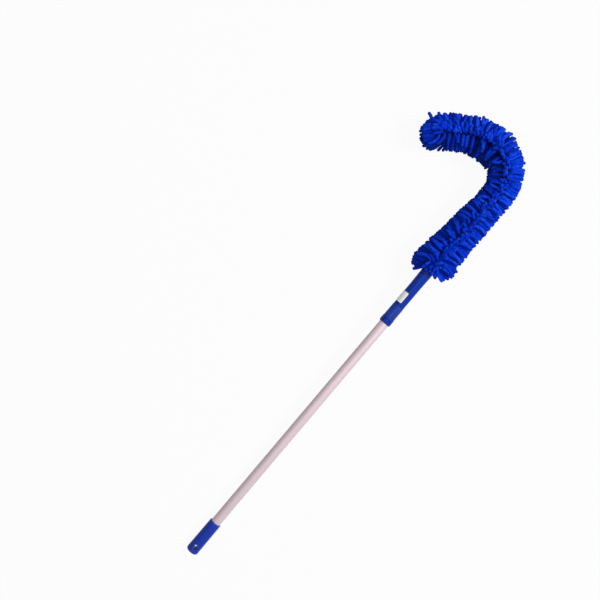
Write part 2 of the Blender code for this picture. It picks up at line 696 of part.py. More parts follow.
def make_head(neck_body):
    """The core and the sleeve, on a chain of pivots that holds the photographed bend."""
    bends = (0, *REST_BENDS_DEG, 0)
    last = len(REST_BENDS_DEG)
    start = FRAME_END_GAP
    end = BEND_PITCH - FRAME_END_GAP
    tip_end = FRAME_TIP_LENGTH
    link = frame_mesh("frame_link", rib_outline(start, end), end, end + OVERRUN)
    tip_side = tip_outline(start, tip_end)
    tip = frame_mesh("frame_tip", tip_side, tip_end - FRAME_END_GAP, WIRE_TIP_LENGTH + FIT_GAP)
    wire_start = HEAD_START - NECK_WIRE_SOCKET + FIT_GAP
    make_wire("core_wire_00", wire_start, FIRST_PIVOT - WIRE_END_GAP, neck_body)
    root = RootSlice(0, HEAD_ROOT_LENGTH + POCKET_ON_NECK, ROOT_ROWS, 0, bends[1], 1)
    slices = [make_slice("sleeve_00", root, neck_body, inner_rows=ROOT_ROWS)]
    slices[0].location.x = HEAD_START - POCKET_ON_NECK
    pivot = neck_body
    for number in range(1, last + 1):
        place = (FIRST_PIVOT if number == 1 else BEND_PITCH, 0, 0)
        pivot = add_empty(f"pivot_{number:02d}", pivot, place)
        pivot.rotation_euler.z = math.radians(bends[number])
        before, after = bends[number : number + 2]
        sleeve = f"sleeve_{number:02d}"
        wire_end = BEND_PITCH - WIRE_END_GAP if number < last else WIRE_TIP_LENGTH
        make_wire(f"core_wire_{number:02d}", WIRE_END_GAP, wire_end, pivot)
        if number < last:
            add_piece(f"frame_link_{number:02d}", link, pivot, (PALE_PLASTIC, 0.5, 0.0))
            part = Slice(number, BEND_PITCH, STRAND_ROWS, before, after, 0)
            slices.append(make_slice(sleeve, part, pivot))
        else:
            add_piece("frame_tip", tip, pivot, (PALE_PLASTIC, 0.5, 0.0))
            part = TipSlice(number, POCKET_TIP_LENGTH, TIP_ROWS, before, after, 0)
            slices.append(make_slice(sleeve, part, pivot, closed_tip=True, inner_rows=TIP_ROWS))
    return slices


# Resting place


def resting_frame(butt, strand_ends):
    """Rotation and height that lay the object on its butt and on two strands far apart.

    Every other strand then ends above the ground, or reaches no deeper than GROUND_CUT.
    """
    low = [p + Vector((0, 0, GROUND_CUT)) for p in strand_ends]
    widest, up = 0, Vector((0, 0, 1))
    for a, b in itertools.combinations(low, 2):
        apart = (a - b).length
        normal = (a - butt).cross(b - butt)
        if apart <= widest or normal.length == 0:
            continue
        normal.normalize()
        if normal.z < 0:
            normal.negate()
        if min((p - butt).dot(normal) for p in low) >= -GROUND_CUT:
            widest, up = apart, normal
    ahead = (Vector((1, 0, 0)) - up * up.x).normalized()
    turn = Matrix((ahead, up.cross(ahead), up))
    return turn, -(turn @ butt).z


def world_points(pieces):
    found = []
    depsgraph = bpy.context.evaluated_depsgraph_get()
    for piece in pieces:
        shown = piece.evaluated_get(depsgraph)
        found += [piece.matrix_world @ v.co for v in shown.data.vertices]
    return found


def lowest_of(points, count):
    return sorted(points, key=lambda p: p.z)[:count]


def lay_on_ground(frame, slices):
    bpy.context.view_layer.update()
    butt = Vector((GRIP_EDGE_RADIUS, 0, -GRIP_DIAMETER / 2))
    support = []
    for piece in slices:
        support += lowest_of(world_points([piece]), STRAND_COLUMNS)
    turn, height = resting_frame(butt, support)
    frame.rotation_euler = turn.to_euler()
    frame.location.z = height
    bpy.context.view_layer.update()
    for piece in slices:
        back = piece.matrix_world.inverted()
        for v in piece.data.vertices:
            place = piece.matrix_world @ v.co
            if place.z < 0:
                place.z = 0
                v.co = back @ place
    bpy.context.view_layer.update()
    pieces = [item for item in parts.objects if item.type == "MESH"]
    points = world_points(pieces)
    frame.location.x -= (min(p.x for p in points) + max(p.x for p in points)) / 2
    frame.location.y -= (min(p.y for p in points) + max(p.y for p in points)) / 2


clear_scene()
parts = new_collection("duster")
cutters = new_collection("cutters")

pole_frame = add_empty("pole_frame")
make_grip(pole_frame)
make_outer_tube(pole_frame)
make_mouth_collar(pole_frame)

lock_axis = add_empty("lock_axis", pole_frame)
make_lock_sleeve(lock_axis)

inner_axis = add_empty("inner_axis", lock_axis)
make_lock_spindle(inner_axis)
make_inner_tube(inner_axis)
make_pole_socket(inner_axis)
make_head_neck(inner_axis)
make_label(inner_axis)
make_sleeve_cuff(inner_axis)
lay_on_ground(pole_frame, make_head(inner_axis))
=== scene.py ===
"""Telescopic duster with a bendable chenille head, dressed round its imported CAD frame."""

import json
import math

import bmesh
import bpy
import numpy as np
from bpy.props import FloatProperty, FloatVectorProperty, IntProperty, PointerProperty
from mathutils import Matrix, Vector


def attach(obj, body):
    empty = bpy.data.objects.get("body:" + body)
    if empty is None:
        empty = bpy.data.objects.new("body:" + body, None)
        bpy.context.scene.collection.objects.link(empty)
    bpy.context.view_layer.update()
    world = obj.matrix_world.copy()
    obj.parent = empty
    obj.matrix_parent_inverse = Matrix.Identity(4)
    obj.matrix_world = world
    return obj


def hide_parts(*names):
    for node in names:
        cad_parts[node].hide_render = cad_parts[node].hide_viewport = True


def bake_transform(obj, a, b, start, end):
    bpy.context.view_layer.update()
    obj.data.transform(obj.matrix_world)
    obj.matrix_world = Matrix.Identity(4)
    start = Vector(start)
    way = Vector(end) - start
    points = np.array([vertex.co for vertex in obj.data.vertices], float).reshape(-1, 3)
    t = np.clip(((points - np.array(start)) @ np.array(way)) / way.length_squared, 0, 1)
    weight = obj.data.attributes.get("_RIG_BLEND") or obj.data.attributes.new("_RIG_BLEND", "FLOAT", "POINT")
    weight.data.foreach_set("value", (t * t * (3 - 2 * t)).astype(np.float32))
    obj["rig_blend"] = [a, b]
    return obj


bl_info = {
    "name": "Chenille duster",
    "version": (1, 0, 0),
    "blender": (4, 5, 0),
    "location": "3D View > Sidebar > Duster",
    "description": "Builds a telescopic duster with a bendable chenille head",
    "category": "Object",
}

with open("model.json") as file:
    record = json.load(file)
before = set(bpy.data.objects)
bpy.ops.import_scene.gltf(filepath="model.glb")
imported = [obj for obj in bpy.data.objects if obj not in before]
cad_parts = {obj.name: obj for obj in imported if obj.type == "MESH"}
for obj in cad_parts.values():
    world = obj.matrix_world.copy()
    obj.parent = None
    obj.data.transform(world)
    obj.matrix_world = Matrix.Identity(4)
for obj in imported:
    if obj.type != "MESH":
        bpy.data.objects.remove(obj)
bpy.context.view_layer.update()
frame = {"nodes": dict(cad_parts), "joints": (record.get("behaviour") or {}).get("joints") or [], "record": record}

# The pole's own frame: x runs from the butt to the head, z is the axis of every bend.
JOINTS = {joint["name"]: joint for joint in frame["joints"]}
BENDS = sorted(name for name in JOINTS if name.startswith("bend_"))
BUTT = Vector(frame["record"]["mounts"][0]["pos_m"])
POLE_X = Vector(JOINTS["pole_slide"]["axis"]).normalized()
POLE_Z = Vector(JOINTS[BENDS[0]]["axis"]).normalized()
POLE_Y = POLE_Z.cross(POLE_X)
POLE_AXES = np.array([POLE_X, POLE_Y, POLE_Z], float)


def to_world(points):
    """Points of the pole's frame in the frame that the CAD has."""
    return np.array(BUTT, float) + np.asarray(points, float) @ POLE_AXES


def to_pole(points):
    """Points of the CAD's frame in the pole's frame."""
    return (np.asarray(points, float) - np.array(BUTT, float)) @ POLE_AXES.T


def stored_places(values, field="co"):
    """The places that a mesh keeps, as rows."""
    places = np.empty(len(values) * 3, np.float32)
    values.foreach_get(field, places)
    return places.reshape(-1, 3)


def extent(node):
    """Where a turned CAD piece starts and ends along the pole, and its largest radius."""
    places = to_pole(stored_places(frame["nodes"][node].data.vertices))
    radius = np.hypot(places[:, 1], places[:, 2]).max()
    return float(places[:, 0].min()), float(places[:, 0].max()), float(radius)


GRIP_START, GRIP_END, GRIP_RADIUS = extent("grip")
TUBE_START, TUBE_END, TUBE_RADIUS = extent("outer_tube")
COLLAR_START, COLLAR_END, COLLAR_RADIUS = extent("mouth_collar")
STEEL_START, STEEL_END, STEEL_RADIUS = extent("inner_tube")
SOCKET_START, SOCKET_END, SOCKET_RADIUS = extent("pole_socket")
SPIGOT_START, NECK_END, NECK_RADIUS = extent("head_neck")
CUFF_START, CUFF_END, CUFF_RADIUS = extent("sleeve_cuff")

FIT_GAP = 0.0003
TURN_STEPS = 96
QUARTER_TURN = TURN_STEPS // 4
EDGE_STEPS = 6
SMOOTH_DEG = 32.0

# Grip
GRIP_MOUTH_RADIUS = 0.0136
GRIP_EDGE = 0.006
GRIP_EDGE_STEPS = 12
GRIP_MOUTH_EDGE = 0.001
GRIP_SOLID = 0.030
GRIP_BODY_END = 0.078
GRIP_BODY_RINGS = 9
HOLE_FROM_BUTT = 0.016
HOLE_HALF_LENGTH = 0.006
HOLE_HALF_WIDTH = 0.004
HOLE_ROUNDING = 0.0011
HOLE_UNDER_SHARE = 0.62     # of its size, on the under side
WINDOW_REACH = 0.0095
WINDOW_RINGS = 12
WINDOW_STEPS = 9
WINDOW_SPREADS = (0.72, 0.45, 0.2)

# Tubes and mouldings
TUBE_WALL = 0.0005
COLLAR_LIP = 0.0045
COLLAR_BEVEL = 0.0022
COLLAR_EDGE = 0.0007
GROOVE_WIDTH = 0.0012
GROOVE_DEPTH = 0.0005
GROOVE_STEPS = 8
GROOVE_FROM_MOUTH = 0.0045
SOCKET_EDGE = 0.0009
SOCKET_TUBE_SEAT = 0.016
SPIGOT_LENGTH = 0.014
SPIGOT_EDGE = 0.001
NECK_REAR_RADIUS = 0.0128
NECK_STRAIGHT = 0.055
NECK_STEP = 0.0012
NECK_STEP_EASE = 0.0006
NECK_FRONT_EDGE = 0.003
NECK_FRONT_STEPS = 8
NECK_RINGS = 30
WIRE_BORE_RADIUS = 0.0023
WIRE_BORE_DEPTH = 0.030

# Label
LABEL_LENGTH = 0.0277
LABEL_FROM_SOCKET = 0.0075
LABEL_THICKNESS = 0.0002
LABEL_DEGREES = (-14.0, 86.0)
LABEL_CORNER = 0.0022
LABEL_RIM = 0.0006
LABEL_ROWS = 20
LABEL_STATIONS = 16

# Cuff
CUFF_RIBS = 44
CUFF_STEPS = 264
CUFF_RINGS = 22
CUFF_RIB_DEPTH = 0.22
CUFF_ROUNDING = 0.35
CUFF_SWELL, CUFF_SWELL_AT, CUFF_SWELL_OVER = 0.5, 0.22, 0.13

# The head's core and the pocket round it
POCKET_ON_NECK = 0.012
POCKET_HALF_THICKNESS = 0.0072
POCKET_HALF_WIDTH = 0.0224
POCKET_WALL = 0.0016
POCKET_TIP = 0.023
POCKET_TIP_GAP = 0.0004
POCKET_TIP_NARROW, POCKET_TIP_THIN = 2.6, 5
POCKET_COLUMNS = 64
POCKET_ROW_PITCH = 0.0025
POCKET_FLAT_WIDTH = 0.106
POCKET_ROUND_TO = 0.014
POCKET_FLAT_AFTER = 0.012
ROOT_RADIUS = 0.0178
TIP_TURN_DEG = 14.0
CURVE_SAMPLES = 48
CURVATURE_STEP = 0.012
BLEND_REACH = 0.5           # of the way from one pivot to the next

# Strands. The columns run from the ridge down each side: share of the way round the pocket, turn of the strand's end,
# droop and untidiness in degrees, painted shade (upper columns lighter, lower ones darker), and part in the teeth.
COLUMNS = ((0.08, 24, 22, 14, 0.10, 0.3), (0.17, 72, 40, 9, 0.30, 1.0), (0.36, 93, 36, 4, -0.20, 0.5),
           (0.52, 110, 36, 3, -0.35, 0.1), (0.68, 132, 24, 5, -0.40, 0.0), (0.85, 158, 10, 7, -0.40, 0.0))
HEAD_RADIUS_SHARES = (0.92, 1.0, 0.91, 0.84, 0.80, 0.76, 0.78, 0.87, 0.98, 0.95, 0.86, 0.84, 0.84)
FIRST_ROW = 0.003
LAST_ROW_FROM_END = 0.002
CLOSER_ROWS_REACH, CLOSER_ROWS = 0.030, 0.22
WAY_JITTER, SHARE_JITTER, REACH_JITTER = 0.0010, 0.015, 0.010
ROOT_REACH = 0.030
END_REACH = 0.036
UPPER_START, UPPER_SHARE = 0.006, 0.45
NECK_BACK_DEG = 8.0
SIDE_BACK_DEG = {1: 14.0, -1: -15.0}
SIDE_BACK_SHARE = 0.40
NEAT_FROM, NEAT_OVER = 0.15, 0.12
RIDGE_TURN_DEG = 20.0
NECK_RIDGE_LEAN_DEG = 14.0
RIDGE_DROOP_DEG = -26.0
RIDGE_COMB_DEG = 30.0
BESIDE_RIDGE_COMB_DEG, BESIDE_RIDGE_OUTER_DEG = 20.0, 16.0
OUTER_DROOP = 0.75
UNDER_JITTER_DEG = 9.0
CROWD_TURN_DEG, CROWD_SINK = 40.0, 0.14
STANDING_SHARE, STANDING_TURN_DEG = 0.22, 22.0
END_LEAN_DEG = 70.0
TOOTH_PITCH = 0.0150
TUFT_PITCHES = (0.0235, 0.0310, 0.0185, 0.047)
# Listed by the way along the head
INNER_TIER_DEG = ((0.24, 72), (0.28, 62), (0.36, 52), (0.41, 40), (0.46, 38), (0.50, 60))
RIDGE_LEAN_DEG = ((0.27, 0), (0.30, 6), (0.33, 14), (0.37, 22), (0.39, 26), (0.41, 21), (0.44, 15), (0.50, 12))
TEETH = ((0.23, 0), (0.27, 0.2), (0.31, 0.3), (0.33, 0.9), (0.38, 1), (0.40, 0.4), (0.42, 0))
TEETH_BACK_DEG = ((0.27, 0), (0.33, 8), (0.35, 20), (0.38, 20), (0.42, 4))
OUTER_REACH = ((0.0, 0.72), (0.012, 1.04), (0.028, 1.12), (0.04, 0.95), (0.06, 1.07), (0.24, 1.07), (0.29, 1.04),
               (0.33, 0.97), (0.35, 1.0), (0.38, 0.99), (0.40, 1.0), (0.41, 0.94), (0.425, 1.0), (0.44, 1.03),
               (0.475, 1.12))
INNER_REACH = ((0.0, 0.95), (0.012, 1.11), (0.024, 1.04), (0.036, 0.99), (0.06, 0.98), (0.08, 0.94), (0.10, 0.95),
               (0.13, 1.0), (0.17, 0.98), (0.185, 0.92), (0.20, 0.96), (0.22, 0.99), (0.25, 0.96), (0.275, 0.97),
               (0.29, 0.84), (0.31, 0.99), (0.40, 1.02), (0.43, 1.02), (0.46, 1.12))
# Listed by the nearness of the head's end
END_LENGTHS = ((0, 0.040), (0.4, 0.044), (0.75, 0.041), (1, 0.031))
STRAND_RINGS = 22
STRAND_SIDES = 12
STRAND_CAP_RINGS = 4
ROOT_DEPTH = 0.0012
ROOT_WIDTH = 0.80
ROOT_LENGTH = 0.006
LUMPS = ((0.040, 0.0101, 1), (0.035, 0.0067, -2), (0.035, 0.0041, 3), (0.030, 0.0033, -1), (0.03, 0.0080, 2))
GROUND = 0.0003

# Stage, in the pole's frame. Lamps stand right of the middle of the picture, above it and towards the camera.
PICTURE_AXES = np.array([(0.64572, -0.76358, 0.0), (0.76358, 0.64572, 0.0), (0.0, 0.0, 1.0)])
PICTURE_MIDDLE = np.array([0.5773, 0.1741, 0.0])
KEY_SIZE, KEY_OFFSET = 2.1, (4.4, 0.07, 4.15)
TOP_SIZE, TOP_OFFSET = 1.1, (0.0, -0.1, 4.0)
FLOOR_GLOW = 0.94
FLOOR_REACH = 6.0
WHITE = (1.0, 1.0, 1.0, 1.0)


class Wire:
    """A node's output that can stand in a sum."""

    def __init__(self, finish, socket):
        self.finish, self.socket = finish, socket

    def math(self, operation, first, second):
        return self.finish.node("ShaderNodeMath", {"operation": operation}, {0: first, 1: second})[0]

    def __add__(self, other):
        return self.math("ADD", self, other)

    def __sub__(self, other):
        return self.math("SUBTRACT", self, other)

    def __rsub__(self, other):
        return self.math("SUBTRACT", other, self)

    def __mul__(self, other):
        return self.math("MULTIPLY", self, other)

    def __gt__(self, other):
        return self.math("GREATER_THAN", self, other)

    def larger(self, other):
        return self.math("MAXIMUM", self, other)

    __radd__ = __add__
    __rmul__ = __mul__


class Finish:
    """A material or world, and the one method that adds its nodes."""

    def __init__(self, owner):
        owner.use_nodes = True
        self.owner = owner
        self.tree = owner.node_tree
        self.tree.nodes.clear()

    def node(self, kind, settings=None, inputs=None):
        """Add a node: its settings first, then its sockets. Returns its outputs as wires."""
        made = self.tree.nodes.new(kind)
        for name, value in (settings or {}).items():
            setattr(made, name, value)
        for name, value in (inputs or {}).items():
            if isinstance(value, Wire):
                self.tree.links.new(value.socket, made.inputs[name])
            else:
                made.inputs[name].default_value = value
        return [Wire(self, socket) for socket in made.outputs]

    def blend(self, share, first, second):
        """A colour between two colours."""
        settings = {"data_type": "RGBA", "clamp_factor": True}
        return self.node("ShaderNodeMix", settings, {0: share, 6: paint(first), 7: paint(second)})[2]

    def shades(self, share, colour, low, high=1.0):
        """A colour between two shades of one colour."""
        return self.blend(share, [part * low for part in colour], [part * high for part in colour])

    def place(self, stored=""):
        """A place that is stored on the mesh, or the object's own."""
        if stored:
            return self.node("ShaderNodeAttribute", {"attribute_name": stored})[1]
        return self.node("ShaderNodeTexCoord")[3]

    def number(self, stored):
        """A number that is stored on the mesh."""
        return self.node("ShaderNodeAttribute", {"attribute_name": stored})[2]

    def stretched(self, vector, scale):
        """A place scaled along each axis."""
        return self.node("ShaderNodeVectorMath", {"operation": "MULTIPLY"}, {0: vector, 1: scale})[0]

    def noise(self, vector, scale, detail, roughness=0.55):
        """Noise from 0 to 1."""
        values = {"Vector": vector, "Scale": scale, "Detail": detail, "Roughness": roughness}
        return self.node("ShaderNodeTexNoise", None, values)[0]

    def bump(self, height, distance, strength):
        values = {"Height": height, "Distance": distance, "Strength": strength}
        return self.node("ShaderNodeBump", None, values)[0]

    def surface(self, values):
        """The Principled shader and the output of a material."""
        shader = self.node("ShaderNodeBsdfPrincipled", None, values)[0]
        self.node("ShaderNodeOutputMaterial", None, {"Surface": shader})
        return self.owner

    def seen(self):
        """1 where the camera looks, in mirrors and through clear things too, and 0 for light that falls on a piece."""
        rays = self.node("ShaderNodeLightPath")
        return rays[0].larger(rays[3]).larger(rays[6])

    def mixed(self, output, share, first, second):
        """Two shaders in a mix, and the output."""
        both = self.node("ShaderNodeMixShader", None, {0: share, 1: first, 2: second})[0]
        self.node(output, None, {"Surface": both})


def new_finish(name):
    return Finish(bpy.data.materials.new(name))


def paint(colour):
    """A colour as a socket takes it."""
    return colour if isinstance(colour, Wire) else (*colour, 1.0)


def blue_moulding(name, colours, colour, shine):
    """Satin moulded plastic: a fine moulded grain, faint handling marks and paler worn rims."""
    finish = new_finish(name)
    place = finish.place("pole_place")
    grain = finish.noise(place, 2600.0, 2.0)
    cloud = finish.noise(place, 42.0, 3.0)
    scuffs = finish.noise(finish.stretched(place, (60.0, 420.0, 420.0)), 1.0, 4.0, 0.7)
    worn = finish.number("rim") * 0.35 * cloud + (scuffs > 0.66) * 0.10
    return finish.surface({
        "Base Color": finish.blend(worn, finish.shades(cloud, colour, 0.86, 1.12), colours.moulding_wear),
        "Roughness": 0.24 + cloud * 0.10 + scuffs * 0.10,
        "Specular IOR Level": shine,
        "Normal": finish.bump(grain * 0.6 + scuffs * 0.4, 0.00003, 0.6),
    })


def silver_paint(colours):
    """Satin metallic paint: fine flakes, and faint streaks drawn along the tube."""
    finish = new_finish("silver paint")
    place = finish.place("pole_place")
    flakes = finish.noise(place, 3000.0, 1.0)
    streaks = finish.noise(finish.stretched(place, (6.0, 260.0, 260.0)), 1.0, 3.0, 0.5)
    base = finish.shades(finish.noise(place, 18.0, 2.0), colours.tube, 0.95, 1.04)
    return finish.surface({
        "Base Color": finish.blend(streaks * 0.26, base, colours.tube_streak),
        "Metallic": 0.09 + flakes * 0.04,
        "Roughness": 0.44 + streaks * 0.12 + flakes * 0.04,
        "Specular IOR Level": 0.35,
        "Normal": finish.bump(flakes * 0.15 + streaks * 0.85, 0.00002, 0.5),
    })


def drawn_steel(name, stored, colour, line_scale):
    """Bare bright steel with lines drawn along it."""
    finish = new_finish(name)
    place = finish.place(stored)
    lines = finish.noise(finish.stretched(place, line_scale), 1.0, 5.0, 0.6)
    cloud = finish.noise(place, 35.0, 2.0)
    return finish.surface({
        "Base Color": finish.shades(lines, colour, 0.88),
        "Metallic": 1.0,
        "Roughness": 0.16 + lines * 0.14 + cloud * 0.06,
        "Normal": finish.bump(lines, 0.00002, 0.5),
    })


def plain_moulding(name, colour, roughness):
    """Hidden moulded plastic with a fine grain."""
    finish = new_finish(name)
    place = finish.place()
    cloud = finish.noise(place, 60.0, 3.0)
    return finish.surface({
        "Base Color": finish.shades(cloud, colour, 0.85, 1.1),
        "Roughness": roughness + cloud * 0.10,
        "Normal": finish.bump(finish.noise(place, 1800.0, 2.0), 0.00004, 0.6),
    })


def label_paper(colours):
    """Blank gloss sticker paper with faint fibres, a little grey along its edges."""
    finish = new_finish("label paper")
    place = finish.place("pole_place")
    fibres = finish.noise(place, 900.0, 4.0, 0.65)
    base = finish.shades(finish.noise(place, 120.0, 2.0), colours.label, 0.96)
    grey = [part * 0.72 for part in colours.label]
    return finish.surface({
        "Base Color": finish.blend(finish.number("rim") * 0.4, base, grey),
        "Roughness": 0.38 + fibres * 0.12,
        "Normal": finish.bump(fibres, 0.00003, 0.5),
    })


def knitted_fabric(name, colour):
    """Knitted backing: rows of small loops, from two waves that cross."""
    finish = new_finish(name)
    place = finish.place("knit_place")
    waves = []
    for axis, scale, distortion in (("X", 260.0, 0.6), ("Y", 300.0, 0.8)):
        settings = {"wave_type": "BANDS", "bands_direction": axis, "wave_profile": "SIN"}
        values = {"Vector": place, "Scale": scale, "Distortion": distortion, "Detail": 1.0}
        waves.append(finish.node("ShaderNodeTexWave", settings, values)[1])
    loops = waves[0] * 0.6 + waves[1] * 0.4
    cloud = finish.noise(place, 140.0, 3.0)
    return finish.surface({
        "Base Color": finish.shades(loops * 0.7 + cloud * 0.3, colour, 0.45),
        "Roughness": 0.85 + cloud * 0.1,
        "Specular IOR Level": 0.08,
        "Normal": finish.bump(loops, 0.0003, 0.8),
    })


def chenille_pile(colours):
    """Dense soft pile, with painted shade between its small tufts and at the strands' roots, and each strand a tone of
    its own that is partly random and partly painted light and shade.
    """
    finish = new_finish("chenille pile")
    place = finish.place("rest_place")
    shade = finish.number("strand_tone_and_shade")
    fibres = finish.noise(place, 1500.0, 3.0, 0.7)
    tufts = finish.node("ShaderNodeTexVoronoi", {"feature": "F1"}, {"Vector": place, "Scale": 560.0})[0]
    mottle = finish.noise(place, 75.0, 2.0, 0.5)
    # Painted light and shade: each strand goes from the dim to the bright blue by its tone, which is partly random and
    # partly painted. The darkest strands, the gaps between the tufts and the roots take the painted-shade blue. Random
    # mottle and painted light on the brightest strands bring in the palest blue.
    base = finish.blend(shade, colours.pile_dim, colours.pile)
    for share, colour in ((shade * -0.75, colours.pile_painted_shade),
                          ((mottle - 0.44) * 2.0 + (shade - 0.7) * 0.8, colours.pile_light),
                          ((tufts + fibres * 0.3 - 0.70) * 1.7, colours.pile_painted_shade),
                          (0.9 - finish.number("strand_along") * 4.5, colours.pile_painted_shade)):
        base = finish.blend(share, base, colour)
    return finish.surface({
        "Base Color": base,
        "Roughness": 0.80 + fibres * 0.15,
        "Specular IOR Level": 0.06,
        "Sheen Weight": 0.10,
        "Sheen Roughness": 0.4,
        "Sheen Tint": paint(colours.pile_light),
        "Normal": finish.bump(fibres * 0.5 - tufts * 0.8, 0.0012, 1.0),
    })


# Meshes


def evenly(start, end, count):
    """Evenly spaced numbers, with both ends."""
    return np.linspace(start, end, count).tolist()


def arc(centre_x, centre_r, radius, start, end, steps=EDGE_STEPS):
    """Points of a rounded edge of a profile, in degrees, as (along, radius, worn)."""
    angles = np.radians(np.linspace(start, end, steps + 1))
    return [(centre_x + radius * math.cos(a), centre_r + radius * math.sin(a), 1.0) for a in angles]


def profile_rings(bm, profile, steps):
    """A ring of vertices for each point of a profile, or one vertex where it meets the axis."""
    rim = bm.verts.layers.float.new("rim")
    rings = []
    for along, radius, *worn in profile:
        count = steps if radius > 0 else 1
        ring = []
        for step in range(count):
            angle = math.tau * step / steps
            vert = bm.verts.new((along, radius * math.cos(angle), radius * math.sin(angle)))
            vert[rim] = worn[0] if worn else 0.0
            ring.append(vert)
        rings.append(ring)
    return rings


def skin_rings(bm, rings, skip=lambda ring, step: False):
    """Faces between neighbouring rings."""
    for number, (first, second) in enumerate(zip(rings, rings[1:])):
        for step in range(max(len(first), len(second))):
            if skip(number, step):
                continue
            ahead = step + 1
            corners = [first[step % len(first)], first[ahead % len(first)],
                       second[ahead % len(second)], second[step % len(second)]]
            corners = list(dict.fromkeys(corners))
            bm.faces.new(corners)


def store(mesh, name, values):
    """Keep a number or a vector for each vertex."""
    values = np.asarray(values, np.float32)
    kind, field = ("FLOAT_VECTOR", "vector") if values.ndim > 1 else ("FLOAT", "value")
    mesh.attributes.new(name, kind, "POINT").data.foreach_set(field, values.ravel())


def linked(name, data):
    """A new object in the scene."""
    made = bpy.data.objects.new(name, data)
    bpy.context.scene.collection.objects.link(made)
    return made


def mesh_of(bm, name):
    mesh = bpy.data.meshes.new(name)
    bm.to_mesh(mesh)
    bm.free()
    return mesh


def pole_mesh(bm, name):
    """A mesh from the pole's frame, placed in the CAD's, that keeps its place along the pole."""
    bmesh.ops.recalc_face_normals(bm, faces=bm.faces)
    mesh = mesh_of(bm, name)
    places = stored_places(mesh.vertices)
    store(mesh, "pole_place", places)
    mesh.vertices.foreach_set("co", to_world(places).astype(np.float32).ravel())
    mesh.shade_smooth()
    mesh.set_sharp_from_angle(angle=math.radians(SMOOTH_DEG))
    mesh.update()
    return mesh


def add_piece(name, mesh, finishes, slot, *nodes):
    """Link a piece that takes the named finishes, and hide the CAD nodes whose place it takes. The slot is not used."""
    piece = linked(name, mesh)
    for finish in finishes:
        found = bpy.data.materials.get(finish)
        if found is None:
            raise RuntimeError(f"the finish {finish!r} isn't there: mix the finishes first")
        mesh.materials.append(found)
    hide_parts(*nodes)
    return piece


def turned_piece(name, profile, finish, slot, node, body):
    """A piece turned about the pole from a closed profile."""
    bm = bmesh.new()
    rings = profile_rings(bm, profile, TURN_STEPS)
    if profile[0][1] > 0:
        rings.append(rings[0])
    skin_rings(bm, rings)
    piece = add_piece(name, pole_mesh(bm, name), [finish], slot, node)
    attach(piece, body)


def obround(direction_x, direction_y, half_length, half_width):
    """Where a ray from the middle of a slot's outline leaves it."""
    size = math.hypot(direction_x, direction_y)
    x, y = direction_x / size, direction_y / size
    middle = half_length - half_width
    if abs(y) > 0 and half_width * abs(x / y) <= middle:
        reach = half_width / abs(y)
    else:
        reach = middle * abs(x) + math.sqrt(max(0.0, half_width ** 2 - (middle * y) ** 2))
    return reach * x, reach * y


def grip_radius(x):
    """The grip narrows a little towards its mouth."""
    start, end = GRIP_EDGE, GRIP_END - GRIP_MOUTH_EDGE
    share = min(1.0, max(0.0, (x - start) / (end - start)))
    return GRIP_RADIUS + (GRIP_MOUTH_RADIUS - GRIP_RADIUS) * share


def cut_window(bm, rings, first_ring, side):
    """Close the window round one end of the hang hole, down to the hole's rounded rim."""
    last_ring = first_ring + WINDOW_RINGS
    low, high = QUARTER_TURN - WINDOW_STEPS, QUARTER_TURN + WINDOW_STEPS

    def corner(ring, step):
        return rings[ring][step if side > 0 else (TURN_STEPS - step) % TURN_STEPS]

    outline = [corner(first_ring, step) for step in range(low, high)]
    outline += [corner(ring, high) for ring in range(first_ring, last_ring)]
    outline += [corner(last_ring, step) for step in range(high, low, -1)]
    outline += [corner(ring, low) for ring in range(last_ring, first_ring, -1)]
    plan = [(vert.co.x - HOLE_FROM_BUTT, vert.co.y) for vert in outline]
    size = 1.0 if side > 0 else HOLE_UNDER_SHARE
    rim = bm.verts.layers.float["rim"]

    def loop(offset, drop, spread, worn):
        made = []
        for x, y in plan:
            edge_x, edge_y = obround(x, y, HOLE_HALF_LENGTH * size + offset, HOLE_HALF_WIDTH * size + offset)
            at_x, at_y = edge_x + (x - edge_x) * spread, edge_y + (y - edge_y) * spread
            height = math.sqrt(grip_radius(at_x + HOLE_FROM_BUTT) ** 2 - at_y ** 2) - drop
            vert = bm.verts.new((at_x + HOLE_FROM_BUTT, at_y, side * height))
            vert[rim] = worn
            made.append(vert)
        return made

    loops = [outline] + [loop(HOLE_ROUNDING, 0.0, spread, 0.0) for spread in WINDOW_SPREADS]
    for angle in np.radians(np.linspace(0, 90, EDGE_STEPS + 1)):
        offset = HOLE_ROUNDING * (1 - math.sin(angle))
        loops.append(loop(offset, HOLE_ROUNDING * (1 - math.cos(angle)), 0.0, 1.0))
    skin_rings(bm, loops)
    return loops[-1]


